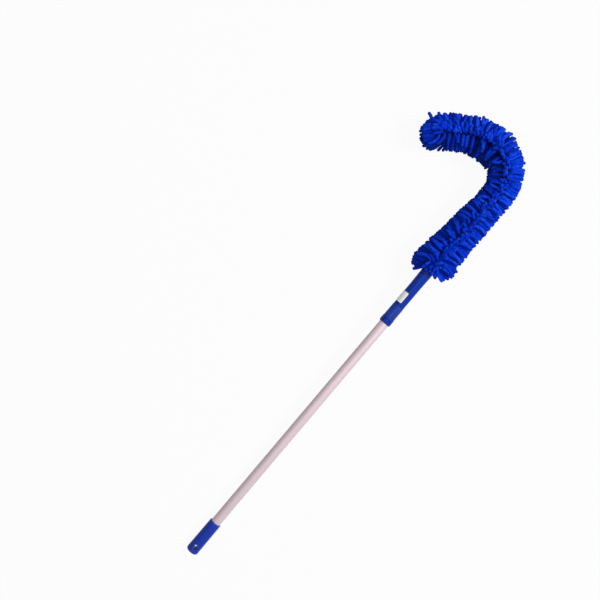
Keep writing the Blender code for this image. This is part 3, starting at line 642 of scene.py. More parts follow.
def make_grip_mesh():
    butt = GRIP_RADIUS - GRIP_EDGE
    seat = TUBE_RADIUS + FIT_GAP
    mouth = GRIP_MOUTH_RADIUS - GRIP_MOUTH_EDGE
    profile = [(GRIP_START, 0.0)]
    profile += arc(GRIP_START + GRIP_EDGE, butt, GRIP_EDGE, 180, 90, GRIP_EDGE_STEPS)
    first_ring = len(profile)
    window = [HOLE_FROM_BUTT + WINDOW_REACH * share for share in evenly(-1, 1, WINDOW_RINGS + 1)]
    profile += [(x, grip_radius(x)) for x in window + evenly(GRIP_SOLID, GRIP_BODY_END, GRIP_BODY_RINGS)]
    profile += arc(GRIP_END - GRIP_MOUTH_EDGE, mouth, GRIP_MOUTH_EDGE, 90, 0)
    profile += [(GRIP_END, seat + FIT_GAP, 1.0), (GRIP_END - FIT_GAP, seat), (GRIP_SOLID, seat), (GRIP_SOLID, 0.0)]
    bm = bmesh.new()
    rings = profile_rings(bm, profile, TURN_STEPS)

    def in_window(ring, step):
        if not first_ring <= ring < first_ring + WINDOW_RINGS:
            return False
        return any(-WINDOW_STEPS <= step - middle < WINDOW_STEPS for middle in (QUARTER_TURN, 3 * QUARTER_TURN))

    skin_rings(bm, rings, in_window)
    rims = [cut_window(bm, rings, first_ring, side) for side in (1, -1)]
    skin_rings(bm, rims)
    loose = [vert for vert in bm.verts if not vert.link_faces]
    bmesh.ops.delete(bm, geom=loose, context="VERTS")
    return pole_mesh(bm, "grip_moulding")


def neck_radius(x):
    """The neck is straight behind and widens towards the head."""
    start = SOCKET_END + FIT_GAP + NECK_STRAIGHT
    share = min(1.0, max(0.0, (x - start) / (NECK_END - start)))
    return NECK_REAR_RADIUS + (NECK_RADIUS - NECK_REAR_RADIUS) * share


def tube_profile(start, end, radius):
    """A thin tube whose mouths are a little rounded."""
    edge = TUBE_WALL / 2
    return arc(end - edge, radius - edge, edge, -90, 90) + arc(start + edge, radius - edge, edge, 90, 270)


# Head


def fade(distance, reach):
    """1 at no distance, and 0 from the reach on."""
    return max(0.0, 1 - distance / reach)


def eased(value, start, over):
    """0 up to the start and 1 when all is over, without corners."""
    share = np.clip((value - start) / over, 0, 1)
    return share * share * (3 - 2 * share)


def listed(table, way):
    """The value at a way, between the listed ones."""
    return float(np.interp(way, [pair[0] for pair in table], [pair[1] for pair in table]))


class Core:
    """The smooth line through the head's pivots, in the pole's frame."""

    def __init__(self):
        pivots = to_pole([JOINTS[name]["pos_m"] for name in BENDS])[:, :2]
        start = np.array([NECK_END - POCKET_ON_NECK, 0.0])
        ahead = pivots[-1] - pivots[-2]
        heading = math.atan2(ahead[1], ahead[0]) + math.radians(TIP_TURN_DEG)
        tip = pivots[-1] + POCKET_TIP * np.array([math.cos(heading), math.sin(heading)])
        knots = np.vstack([start, pivots, tip])
        steps = np.diff(knots, axis=0)
        lengths = np.linalg.norm(steps, axis=1)
        ways = steps / lengths[:, None]
        tangents = np.vstack([ways[0], ways[:-1] + ways[1:], ways[-1]])
        tangents /= np.linalg.norm(tangents, axis=1)[:, None]
        s = np.linspace(0, 1, CURVE_SAMPLES, endpoint=False)[:, None]
        points, marks = [], []
        for number, length in enumerate(lengths):
            points.append((2 * s**3 - 3 * s**2 + 1) * knots[number] + (s**3 - 2 * s**2 + s) * tangents[number] * length
                          + (3 * s**2 - 2 * s**3) * knots[number + 1] + (s**3 - s**2) * tangents[number + 1] * length)
            marks.append(number + s[:, 0])
        self.points = np.vstack(points + [knots[-1]])
        self.marks = np.concatenate(marks + [[float(len(lengths))]])
        gaps = np.linalg.norm(np.diff(self.points, axis=0), axis=1)
        self.ways = np.concatenate([[0.0], np.cumsum(gaps)])
        slopes = np.gradient(self.points, self.ways, axis=0)
        self.headings = np.unwrap(np.arctan2(slopes[:, 1], slopes[:, 0]))
        self.length = float(self.ways[-1])

    def mark(self, way):
        """Number of pivots passed, with the share of the way to the next."""
        return np.interp(way, self.ways, self.marks)

    def way(self, mark):
        return np.interp(mark, self.marks, self.ways)

    def place(self, way, side, up, ahead):
        """Points from places beside, above and ahead of the line, each at its own way along it."""
        way = np.asarray(way, float)
        x = np.interp(way, self.ways, self.points[:, 0])
        y = np.interp(way, self.ways, self.points[:, 1])
        heading = self.heading(way)
        cos, sin = np.cos(heading), np.sin(heading)
        return np.stack([x + ahead * cos - side * sin, y + ahead * sin + side * cos, up + 0 * x], -1)

    def heading(self, way):
        return np.interp(way, self.ways, self.headings)

    def curvature(self, way):
        return (self.heading(way + CURVATURE_STEP) - self.heading(way - CURVATURE_STEP)) / (2 * CURVATURE_STEP)


def pocket_outline(share):
    """The flat pocket's outline at a share from -1 to 1 of the way round it."""
    straight = POCKET_HALF_WIDTH - POCKET_HALF_THICKNESS
    bow = POCKET_HALF_THICKNESS * math.pi / 2
    way = np.abs(share) * (2 * bow + 2 * straight)
    angle = np.clip(way, 0, bow) / POCKET_HALF_THICKNESS
    angle = angle + np.clip(way - bow - 2 * straight, 0, bow) / POCKET_HALF_THICKNESS
    side = POCKET_HALF_THICKNESS * np.sin(angle)
    up = straight - np.clip(way - bow, 0, 2 * straight) + POCKET_HALF_THICKNESS * np.cos(angle)
    return side * np.where(share < 0, -1.0, 1.0), up


def pocket_place(core, way, share, inset=0.0):
    """The pocket's outline where it is round on the neck, flat in the middle and closed at the tip."""
    side, up = pocket_outline(share)
    angle = share * math.pi
    flat = eased(way, POCKET_ROUND_TO, POCKET_FLAT_AFTER)
    side = ROOT_RADIUS * np.sin(angle) * (1 - flat) + side * flat
    up = ROOT_RADIUS * np.cos(angle) * (1 - flat) + up * flat
    left = np.clip((core.length - way) / POCKET_TIP, 0, 1)
    narrow = np.sqrt(np.clip(1 - (1 - left) ** POCKET_TIP_NARROW, 0, 1))
    thin = np.sqrt(np.clip(1 - (1 - left) ** POCKET_TIP_THIN, 0, 1))
    inner = 1 - inset / np.hypot(side, up)
    return side * thin * inner, up * narrow * inner


class HeadPlan:
    """Where each strand stands, where its end goes, and how thick and long it is."""

    def __init__(self, core, settings):
        self.random = np.random.default_rng(settings.seed)
        self.core, self.settings = core, settings
        self.waves = self.random.uniform(0, math.tau, (len(TUFT_PITCHES), 2))
        self.rows = []
        way, row = FIRST_ROW, 0
        while way < core.length - LAST_ROW_FROM_END:
            self.add_row(row, way)
            way += settings.row_pitch * (1 - CLOSER_ROWS * fade(core.length - way, CLOSER_ROWS_REACH))
            row += 1
        self.add_free_strands()
        self.table = {key: np.array([strand[key] for strand in self.rows]) for key in self.rows[0]}

    def radius(self, way):
        """The head is full at both ends and slimmer between."""
        shares = np.interp(self.core.mark(way), range(len(HEAD_RADIUS_SHARES)), HEAD_RADIUS_SHARES)
        return self.settings.radius * float(shares)

    def add_row(self, row, way):
        pitch = self.settings.row_pitch
        bend = float(self.core.curvature(way)) * self.radius(way)
        for number in range(2):
            self.add_strand(way + pitch / 2 * number, 0, 0.0, 1)
        self.add_strand(way + pitch / 2, 5, 1.0, 1)
        for column, (share, *_) in enumerate(COLUMNS):
            at = way + pitch / 2 * (column % 2)
            between = at + pitch / 2
            # The inside of a bend has no room for every strand, and the outside shows more of them.
            if not (bend > 0.3 and 0 < column < 5 and (row + column) % 3 == 0):
                self.add_strand(at, column, share, 1)
            self.add_strand(at, column, share, -1)
            if column in (2, 3):
                self.add_strand(between, column, share + 0.05, 1)
                self.add_strand(between, column, share + 0.05, -1)
            if bend > 0.25 and 0 < column < 4:
                self.add_strand(between + 0.001, column, share - 0.06, -1)

    def gather(self, way, share):
        """Neighbouring strands lean together in small tufts, which leaves notches between them."""
        total = 0.0
        for pitch, (first, second) in zip(TUFT_PITCHES, self.waves):
            total += math.sin(math.tau * way / pitch + first + 2.2 * math.sin(3.0 * share + second))
        return total / 2

    def add_strand(self, way, column, share, hand):
        core, draw = self.core, self.random
        _, tip_deg, droop_deg, untidy_deg, column_painted_shade, tooth_part = COLUMNS[column]
        ridge, under = share == 0, share == 1
        # The upper side starts later, so that the hem round the neck shows.
        way += UPPER_START * fade(way, ROOT_REACH) * fade(share, UPPER_SHARE)
        way = float(np.clip(way + draw.normal(0, WAY_JITTER), 0.001, core.length - 0.001))
        at = hand * (share + draw.normal(0, SHARE_JITTER))
        side, up = (float(v) for v in pocket_place(core, np.float64(way), np.float64(at)))
        # Strands stand anyhow near the neck, and part along a ridge further on.
        neat = float(eased(way, NEAT_FROM, NEAT_OVER))
        radius = self.radius(way)
        root, end = fade(way, ROOT_REACH), fade(core.length - way, END_REACH)
        inner = max(0.0, float(core.curvature(way)) * radius * hand)
        untidy = (1 - 0.5 * neat) * (1 - 0.8 * end)
        lean = math.radians(listed(RIDGE_LEAN_DEG, way))
        if column == 1 and hand > 0:
            tip_deg = listed(INNER_TIER_DEG, way)
        if column == 0 and hand < 0:
            tip_deg = BESIDE_RIDGE_OUTER_DEG
        droop = math.radians(droop_deg) * (1 if hand > 0 else OUTER_DROOP)
        loose = math.radians(untidy_deg) * (1 - 0.8 * end) * (1 + (1.2 if hand > 0 else 0.3) * root)
        tip_angle = math.radians(tip_deg) + (draw.normal(0, 0.8 * loose) - lean * hand * (column == 0))
        # Each strand's tone is random, plus its column's painted light and shade.
        shade = draw.uniform(0.1, 0.8) + column_painted_shade
        reach = radius * (1 + draw.normal(0, REACH_JITTER))
        comb = 0.0
        if ridge:
            tip_angle = draw.uniform(-1, 1) * math.radians(RIDGE_TURN_DEG) - lean
            tip_angle -= math.radians(NECK_RIDGE_LEAN_DEG) * (1 - neat)
            reach *= draw.uniform(0.82, 0.92) - 0.05 * neat
            droop = math.radians(RIDGE_DROOP_DEG)
            comb = math.radians(RIDGE_COMB_DEG)
            # Painted light: ridge strands take a fairly bright tone, as the crest catches the light.
            shade = draw.uniform(0.4, 0.9)
        elif under:
            tip_angle = math.pi + draw.normal(0, math.radians(UNDER_JITTER_DEG))
        elif column == 0:
            reach *= draw.uniform(0.80, 0.90)
            comb = math.radians(BESIDE_RIDGE_COMB_DEG)
        elif column == 1:
            reach *= draw.uniform(0.90, 0.98)
        elif column == 2:
            reach *= 0.97
        # Strands on the inside of a bend crowd each other, so they part and sink away from the ridge.
        stands = column in (1, 2) and draw.random() < STANDING_SHARE
        if column in (1, 2) and not stands:
            tip_angle += inner * math.radians(CROWD_TURN_DEG)
            reach *= 1 - CROWD_SINK * inner
        if stands:
            tip_angle -= min(1.0, inner) * math.radians(STANDING_TURN_DEG)
        tip_angle += draw.uniform(-1, 1) * inner * math.radians(10)
        # On the outside of the bend they gather in pointed tufts.
        tooth = listed(TEETH, way) * tooth_part if hand < 0 else 0.0
        reach *= listed(OUTER_REACH if hand < 0 else INNER_REACH, way)
        phase = way / TOOTH_PITCH + 0.2 * math.sin(way / 0.0071) + 0.14 * math.sin(7 * share + way / 0.013)
        phase = phase % 1 - 0.5
        reach *= 1 + tooth * (0.07 - 0.30 * abs(phase) + draw.normal(0, 0.03))
        ahead = -math.radians(listed(TEETH_BACK_DEG, way) + 30 * phase) * tooth + comb
        ahead += math.radians(2.5 + 1.5 * neat) * self.gather(way, at) / 2 * (1 - tooth)
        ahead += draw.normal(0, 1.0 * loose)
        reach *= 1 + end * (0.10 if hand > 0 else -0.22)
        tip_side, tip_up = reach * math.sin(tip_angle) * hand, reach * math.cos(tip_angle)
        tip_side += 0.004 * end
        # Strands lean back over the neck, less so over its upper side, and lie forwards round the tip.
        ahead *= 1 - end
        back = math.radians(SIDE_BACK_DEG[hand]) * min(1.0, share / SIDE_BACK_SHARE) + math.radians(NECK_BACK_DEG)
        ahead += -back * root + draw.normal(0, math.radians(6)) * root
        ahead += math.radians(END_LEAN_DEG) * end ** 0.8
        step_side, step_up = tip_side - side, tip_up - up
        chord = math.hypot(step_side, step_up)
        aim = math.atan2(step_side, step_up)
        turn = -hand * droop * (1 - end) + draw.normal(0, 0.10) * untidy
        length = chord * (1 + turn * turn / 6) * (1 - 0.12 * inner * draw.random())
        length = length * (1 - 0.06 * root)
        length += (listed(END_LENGTHS, end) * (0.84 if hand < 0 else 1.08) - length) * min(1.0, 1.4 * end)
        # Painted shade: strands darken on the side that the head bends to, most in columns 2 and 3 there, in the crowd
        # inside the bend unless they stand up or form the ridge, and round the end, where less light reaches them.
        if hand > 0 and not ridge:
            shade -= 0.20 * math.sin(min(tip_angle, 1.6)) + 0.25 * (column in (2, 3))
        shade -= (0 if stands or ridge else min(1.0, inner) * 0.9) + 0.35 * end
        self.rows.append({
            "way": way, "side": side, "up": up, "from": aim + turn, "to": aim - turn,
            "ahead": ahead, "curl": draw.normal(0, 2.5 * loose + 0.1) * (1 - end) + 1.9 * end ** 0.5 * (end > 0),
            "length": length, "radius": self.settings.thickness / 2 * (1 + draw.normal(0, 0.06)),
            "taper": draw.uniform(0.80, 0.95), "shade": shade, "phase": draw.uniform(0, math.tau, 6),
        })

    def add_free(self, way, side, up, turn, ahead, curl, length):
        """A strand that doesn't follow the rows."""
        draw = self.random
        self.rows.append({
            "way": way, "side": side, "up": up, "from": turn, "to": turn + draw.normal(0, 0.15), "ahead": ahead,
            "curl": curl + draw.normal(0, 0.1), "length": length * (1 + draw.normal(0, 0.04)),
            "radius": self.settings.thickness / 2, "taper": draw.uniform(0.85, 1.0), "shade": draw.random() * 0.7,
            "phase": draw.uniform(0, math.tau, 6),
        })

    def add_free_strands(self):
        """Strands that close over the end like petals, strays at both ends, and two rows over the hem."""
        end, radians = self.core.length - 0.0015, math.radians
        for count, first, wide, high, ahead, curl, length in ((13, 0.0, 0.0034, 0.0080, 64, 1.9, 0.033),
                                                              (5, 0.5, 0.001, 0.003, 76, 0.5, 0.025)):
            for number in range(count):
                angle = math.tau * (number / count) + first
                self.add_free(end, wide * math.sin(angle), high * math.cos(angle), angle, radians(ahead), curl, length)
        for way, side, up, turn, ahead, length in (
                (end - 0.009, -0.007, 0.008, -62, 20, 0.039), (end - 0.015, -0.007, 0.008, -62, 2, 0.039),
                (0.006, 0.012, 0.0, 88, -54, 0.031), (0.010, 0.014, 0.0, 88, -40, 0.031)):
            self.add_free(way, side, up, radians(turn), radians(ahead), 0.1, length)
        for way, ahead, length, shares in ((0.008, -52, 0.019, (-2, -1, 0, 1, 2)),
                                           (0.016, -38, 0.024, (-1.5, -0.5, 0.5, 1.5))):
            for share in shares:
                angle = 0.36 * share
                self.add_free(way, ROOT_RADIUS * math.sin(angle), ROOT_RADIUS * math.cos(angle), angle * 0.8,
                              radians(ahead + self.random.uniform(-7, 7)), -0.6, length)


def strand_points(core, strands):
    """Rings of points along every strand: places, shares along, and one end point for each."""
    count = len(strands["way"])
    length, radius = strands["length"][:, None], strands["radius"][:, None]
    body = np.linspace(0, 1, STRAND_RINGS)[None, :]
    cap_start = 1 - np.clip(radius / length, 0.05, 0.4)
    cap_angle = np.linspace(0, math.pi / 2, STRAND_CAP_RINGS + 2)[1:-1][None, :]
    shares = np.concatenate([body * cap_start, cap_start + (1 - cap_start) * np.sin(cap_angle), np.ones((count, 1))], 1)
    turn = strands["from"][:, None] + (strands["to"] - strands["from"])[:, None] * shares
    rise = strands["ahead"][:, None] + strands["curl"][:, None] * (shares - 0.5)
    way_side, way_up, way_ahead = np.sin(turn) * np.cos(rise), np.cos(turn) * np.cos(rise), np.sin(rise)
    steps = np.diff(shares, axis=1) * length

    def summed(values, start):
        inner = (values[:, 1:] + values[:, :-1]) / 2 * steps
        return start[:, None] + np.concatenate([np.zeros((count, 1)), np.cumsum(inner, 1)], 1)

    side = summed(way_side, strands["side"]) - ROOT_DEPTH * way_side[:, :1]
    up = summed(way_up, strands["up"]) - ROOT_DEPTH * way_up[:, :1]
    ahead = summed(way_ahead, np.zeros(count))
    # The floor holds the lowest strands up.
    centres = to_world(core.place(strands["way"][:, None], side, up, ahead))
    lift = np.clip(GROUND + radius * 0.72 - centres[..., 2], 0, None)
    up = up + lift
    # Radius along the strand: narrow root, even body, rounded end.
    thin = 1 - (1 - strands["taper"][:, None]) * shares ** 2
    cap = np.sqrt(np.clip(1 - np.clip((shares - cap_start) / (1 - cap_start), 0, 1) ** 2, 0, 1))
    root = ROOT_WIDTH + (1 - ROOT_WIDTH) * np.clip(shares * length / ROOT_LENGTH, 0, 1)
    angle = np.linspace(0, math.tau, STRAND_SIDES, endpoint=False)[None, None, :]
    distance = (shares * length)[..., None]
    lumps = np.zeros(distance.shape[:2] + (STRAND_SIDES,))
    for number, (size, pitch, turns) in enumerate(LUMPS):
        spin = strands["phase"][:, number, None, None]
        lumps = lumps + size * np.sin(distance * math.tau / pitch * (1 + 0.1 * np.cos(spin * 3)) + turns * angle + spin)
    width = (radius * thin * cap * root)[..., None] * (1 + lumps)
    across = np.stack([np.cos(turn), -np.sin(turn), np.zeros_like(turn)], -1)
    other = np.cross(np.stack([way_side, way_up, way_ahead], -1), across)
    ring = np.cos(angle)[..., None] * across[:, :, None, :] + np.sin(angle)[..., None] * other[:, :, None, :]
    ring = np.stack([side, up, ahead], -1)[:, :, None, :] + width[..., None] * ring
    way = np.broadcast_to(strands["way"][:, None, None], ring.shape[:3])
    places = to_world(core.place(way, ring[..., 0], ring[..., 1], ring[..., 2]))
    places[..., 2] = np.maximum(places[..., 2], GROUND)
    return places[:, :-1], places[:, -1].mean(1), shares


def strand_faces(count, rings):
    """Faces of every strand, with one vertex at each end."""
    size = rings * STRAND_SIDES + 2
    start = np.arange(count)[:, None, None] * size
    ring = np.arange(rings - 1)[None, :, None] * STRAND_SIDES
    step = np.arange(STRAND_SIDES)[None, None, :]
    ahead = (step + 1) % STRAND_SIDES
    quads = np.stack([start + ring + step, start + ring + ahead, start + ring + STRAND_SIDES + ahead,
                      start + ring + STRAND_SIDES + step], -1).reshape(-1, 4)
    start, step, ahead = start[:, 0], step[0], ahead[0]
    last = (rings - 1) * STRAND_SIDES
    tips = np.stack([start + last + step, start + last + ahead, start + size - 2 + 0 * step], -1).reshape(-1, 3)
    feet = np.stack([start + ahead, start + step, start + size - 1 + 0 * step], -1).reshape(-1, 3)
    return quads, np.vstack([tips, feet])


def backing_grid(core, first, last):
    """The knitted pocket between two ways: outer and inner walls as one closed grid."""
    rows = max(4, int(round((last - first) / POCKET_ROW_PITCH)))
    outer = np.linspace(first, last, rows + 1)
    shares = np.linspace(-1, 1, POCKET_COLUMNS, endpoint=False)
    grid, knit = [], []
    for ways, inset in ((outer, 0.0), (outer[::-1], POCKET_WALL)):
        for way in ways:
            at = np.full(POCKET_COLUMNS, min(way, core.length - POCKET_TIP_GAP - inset))
            side, up = pocket_place(core, at, shares, inset)
            grid.append(core.place(at, side, up, 0.0))
            knit.append(np.stack([shares * POCKET_FLAT_WIDTH / 2, at, 0 * at], -1))
    return np.array(grid), np.array(knit)


def grid_faces(rows, columns, offset):
    """Faces of a grid that is closed both ways."""
    row, column = np.meshgrid(np.arange(rows), np.arange(columns), indexing="ij")
    row_ahead, column_ahead = (row + 1) % rows, (column + 1) % columns
    faces = np.stack([row * columns + column, row * columns + column_ahead, row_ahead * columns + column_ahead,
                      row_ahead * columns + column], -1)
    return faces.reshape(-1, 4) + offset


def head_mesh(name, core, plan, first, last):
    """One stretch of the sleeve: its strands and the knitted pocket that they stand on."""
    chosen = (plan.table["way"] >= first) & (plan.table["way"] < last)
    strands = {key: values[chosen] for key, values in plan.table.items()}
    rings, tips, shares = strand_points(core, strands)
    count, ring_count = rings.shape[:2]
    points = np.concatenate([rings.reshape(count, -1, 3), tips[:, None], rings[:, :1].mean(2)], 1)
    along = np.repeat(shares[:, :-1], STRAND_SIDES, axis=1)
    along = np.concatenate([along, np.ones((count, 1)), np.zeros((count, 1))], 1)
    shade = np.repeat(strands["shade"], points.shape[1])
    quads, triangles = strand_faces(count, ring_count)
    grid, knit = backing_grid(core, first, last)
    backing = grid_faces(grid.shape[0], grid.shape[1], count * points.shape[1])
    places = np.vstack([points.reshape(-1, 3), to_world(grid.reshape(-1, 3))])
    blank = np.zeros(grid.shape[0] * grid.shape[1])
    mesh = bpy.data.meshes.new(name)
    mesh.from_pydata(places.tolist(), [], quads.tolist() + triangles.tolist() + backing.tolist())
    store(mesh, "rest_place", places)
    store(mesh, "knit_place", np.vstack([points.reshape(-1, 3) * 0, knit.reshape(-1, 3)]))
    store(mesh, "strand_along", np.concatenate([along.ravel(), blank]))
    store(mesh, "strand_tone_and_shade", np.concatenate([shade, blank]))
    slots = np.concatenate([np.zeros(len(quads) + len(triangles)), np.ones(len(backing))]).astype(np.int32)
    mesh.shade_smooth()
    bm = bmesh.new()
    bm.from_mesh(mesh)
    bmesh.ops.recalc_face_normals(bm, faces=bm.faces)
    bm.to_mesh(mesh)
    bm.free()
    return mesh, slots


# Settings


def colour_setting(name, description, default):
    return FloatVectorProperty(name=name, description=description, default=default, size=3, min=0.0, max=1.0,
                               subtype="COLOR")


def number_setting(name, description, default, low, high, **more):
    return FloatProperty(name=name, description=description, default=default, min=low, max=high, **more)


def length_setting(*values):
    return number_setting(*values, subtype="DISTANCE", unit="LENGTH")


class DusterColours(bpy.types.PropertyGroup):
    """Colours of the finishes, as linear values."""

    moulding: colour_setting("Moulding", "Blue of the collar, socket and neck", (0.004, 0.034, 0.34))
    grip: colour_setting("Grip", "Blue of the grip", (0.010, 0.038, 0.37))
    moulding_wear: colour_setting("Moulding wear", "Paler blue of rubbed rims", (0.10, 0.14, 0.55))
    tube: colour_setting("Tube", "Pinkish silver paint of the outer tube", (0.72, 0.58, 0.62))
    tube_streak: colour_setting("Tube streak", "Greyer streaks in the paint", (0.54, 0.465, 0.495))
    steel: colour_setting("Steel", "Bare steel of the inner tube", (0.42, 0.42, 0.43))
    label: colour_setting("Label", "Paper of the blank sticker", (0.96, 0.93, 0.88))
    # The bright and dim blues set each strand's tone, which is partly random and partly painted light and shade.
    pile: colour_setting("Pile", "Blue of the brighter strands", (0.002, 0.056, 0.88))
    # Painted shade: this blue darkens the roots, the gaps between the tufts and the darkest strands.
    pile_painted_shade: colour_setting("Deep pile", "Blue at the strands' roots", (0.0, 0.013, 0.10))
    # The palest blue comes with random mottle, and as a painted highlight on the brightest strands.
    pile_light: colour_setting("Light pile", "Blue of the palest patches", (0.018, 0.12, 0.96))
    pile_dim: colour_setting("Dim pile", "Blue of the duller strands", (0.001, 0.032, 0.56))
    # The backing's dark blue is partly its own colour and partly painted shade, as dark as the strands' roots, for the
    # pocket under the strands.
    backing: colour_setting("Backing", "Knitted pocket under the strands", (0.001, 0.013, 0.12))
    hem: colour_setting("Hem", "Knitted cuff round the neck", (0.010, 0.105, 0.66))


class DusterHead(bpy.types.PropertyGroup):
    """Sizes of the strands."""

    radius: length_setting("Radius", "From the core to the ends of the longest strands", 0.0508, 0.03, 0.06)
    thickness: length_setting("Thickness", "Across one strand", 0.0075, 0.003, 0.012)
    row_pitch: length_setting("Row pitch", "From one row of strands to the next", 0.0108, 0.004, 0.02)
    seed: IntProperty(name="Seed", description="Start of the random draws", default=11, min=0)


class DusterStage(bpy.types.PropertyGroup):
    """Camera, lamps and floor."""

    distance: length_setting("Distance", "From the camera to the pole's plane", 2.0, 0.5, 20.0)
    lens: number_setting("Lens", "Focal length", 54.54, 10.0, 500.0, unit="CAMERA")
    key_power: number_setting("Key", "Power of the key lamp", 262.0, 0.0, 5000.0, unit="POWER")
    top_power: number_setting("Top", "Power of the lamp by the camera", 40.0, 0.0, 5000.0, unit="POWER")
    ambient: number_setting("Ambient", "Strength of the even light all round", 0.17, 0.0, 2.0)
    floor_colour: colour_setting("Floor", "Pale floor", (0.72, 0.72, 0.72))


# Operators


class DUSTER_OT_finishes(bpy.types.Operator):
    """Mix the finishes, and put them on the CAD pieces that stay in view."""

    bl_idname = "duster.finishes"
    bl_label = "Mix finishes"

    def execute(self, context):
        colours = context.scene.duster_colours
        blue_moulding("blue moulding", colours, colours.moulding, 0.09)
        blue_moulding("grip moulding", colours, colours.grip, 0.14)
        silver_paint(colours)
        label_paper(colours)
        chenille_pile(colours)
        knitted_fabric("knitted backing", colours.backing)
        knitted_fabric("knitted hem", colours.hem)
        drawn_steel("bare tube steel", "pole_place", colours.steel, (14.0, 2200.0, 2200.0))
        wire = drawn_steel("core wire steel", "", colours.steel, (900.0, 900.0, 900.0))
        pale = plain_moulding("pale moulding", (0.55, 0.55, 0.53), 0.42)
        dark = plain_moulding("dark moulding", (0.022, 0.022, 0.024), 0.40)
        looks = {"core_wire": wire, "frame_": pale, "lock_sleeve": pale, "lock_spindle": dark}
        for name, node in frame["nodes"].items():
            for start, look in looks.items():
                if name.startswith(start):
                    node.data.materials.clear()
                    node.data.materials.append(look)
        return {"FINISHED"}


class DUSTER_OT_grip(bpy.types.Operator):
    """Make the grip, whose hang hole has a rounded rim."""

    bl_idname = "duster.grip"
    bl_label = "Make grip"

    def execute(self, context):
        piece = add_piece("grip_moulding", make_grip_mesh(), ["grip moulding"], "blue_plastic", "grip")
        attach(piece, "outer_pole")
        return {"FINISHED"}


class DUSTER_OT_tubes(bpy.types.Operator):
    """Make the painted tube and the bare tube that slides in it."""

    bl_idname = "duster.tubes"
    bl_label = "Make tubes"

    def execute(self, context):
        profile = tube_profile(TUBE_START, TUBE_END, TUBE_RADIUS)
        turned_piece("painted_tube", profile, "silver paint", "silver_paint", "outer_tube", "outer_pole")
        profile = tube_profile(STEEL_START, STEEL_END, STEEL_RADIUS)
        turned_piece("bare_tube", profile, "bare tube steel", "bare_steel", "inner_tube", "inner_pole")
        return {"FINISHED"}


class DUSTER_OT_mouldings(bpy.types.Operator):
    """Make the mouth collar, the pole socket and the head's neck."""

    bl_idname = "duster.mouldings"
    bl_label = "Make mouldings"

    def execute(self, context):
        seat, bore = TUBE_RADIUS + FIT_GAP, STEEL_RADIUS + FIT_GAP
        edge, radius = COLLAR_EDGE, COLLAR_RADIUS
        groove, lip = COLLAR_END - GROOVE_FROM_MOUTH, COLLAR_END - COLLAR_LIP
        profile = [(COLLAR_END - edge / 2, bore), (COLLAR_END, bore + edge / 2, 1.0)]
        profile += arc(COLLAR_END - edge, radius - edge, edge, 0, 90)
        dip = GROOVE_WIDTH / 2
        profile.append((groove + edge / 4, radius))
        for angle in np.radians(np.linspace(0, 180, GROOVE_STEPS + 1)):
            profile.append((groove - dip + dip * math.cos(angle), radius - GROOVE_DEPTH * math.sin(angle)))
        profile.append((groove - GROOVE_WIDTH - edge / 4, radius))
        ease, bevel = COLLAR_BEVEL / 4, COLLAR_START + COLLAR_BEVEL
        profile += [(bevel + ease, radius, 0.0), (bevel, radius - ease / 6, 1.0),
                    (bevel - ease, radius - ease / 2, 1.0),
                    (COLLAR_START + ease / 2, radius - COLLAR_BEVEL / 2, 1.0),
                    (COLLAR_START, radius - COLLAR_BEVEL / 2 - ease / 2, 1.0),
                    (COLLAR_START, seat), (lip, seat), (lip, bore)]
        turned_piece("collar_moulding", profile, "blue moulding", "blue_plastic", "mouth_collar", "outer_pole")

        edge, radius = SOCKET_EDGE, SOCKET_RADIUS
        inner, shoulder = NECK_REAR_RADIUS - NECK_STEP - 2 * FIT_GAP, bore - TUBE_WALL
        tube_stop, spigot_stop = SOCKET_START + SOCKET_TUBE_SEAT, SOCKET_END - SPIGOT_LENGTH
        profile = [(SOCKET_END, inner)] + arc(SOCKET_END - edge, radius - edge, edge, 0, 90)
        profile += arc(SOCKET_START + edge, radius - edge, edge, 90, 180)
        profile += [(SOCKET_START, bore), (tube_stop, bore), (tube_stop, shoulder), (spigot_stop, shoulder),
                    (spigot_stop, inner - SPIGOT_EDGE), (SOCKET_END - FIT_GAP, inner - SPIGOT_EDGE)]
        turned_piece("socket_moulding", profile, "blue moulding", "blue_plastic", "pole_socket", "inner_pole")

        edge, start = NECK_FRONT_EDGE, SOCKET_END + FIT_GAP
        profile = [(NECK_END - WIRE_BORE_DEPTH, 0.0), (NECK_END - WIRE_BORE_DEPTH, WIRE_BORE_RADIUS),
                   (NECK_END, WIRE_BORE_RADIUS)]
        profile += arc(NECK_END - edge, NECK_RADIUS - edge, edge, 0, 80, NECK_FRONT_STEPS)
        profile += [(x, neck_radius(x))
                    for x in evenly(NECK_END - edge, start + NECK_STEP + NECK_STEP_EASE, NECK_RINGS)]
        profile += arc(start + NECK_STEP, NECK_REAR_RADIUS - NECK_STEP, NECK_STEP, 90, 180)
        inner -= SPIGOT_EDGE
        profile += [(start, inner), (SPIGOT_START + SPIGOT_EDGE, inner), (SPIGOT_START, inner - SPIGOT_EDGE),
                    (SPIGOT_START, 0.0)]
        turned_piece("neck_moulding", profile, "blue moulding", "blue_plastic", "head_neck", "inner_pole")
        return {"FINISHED"}


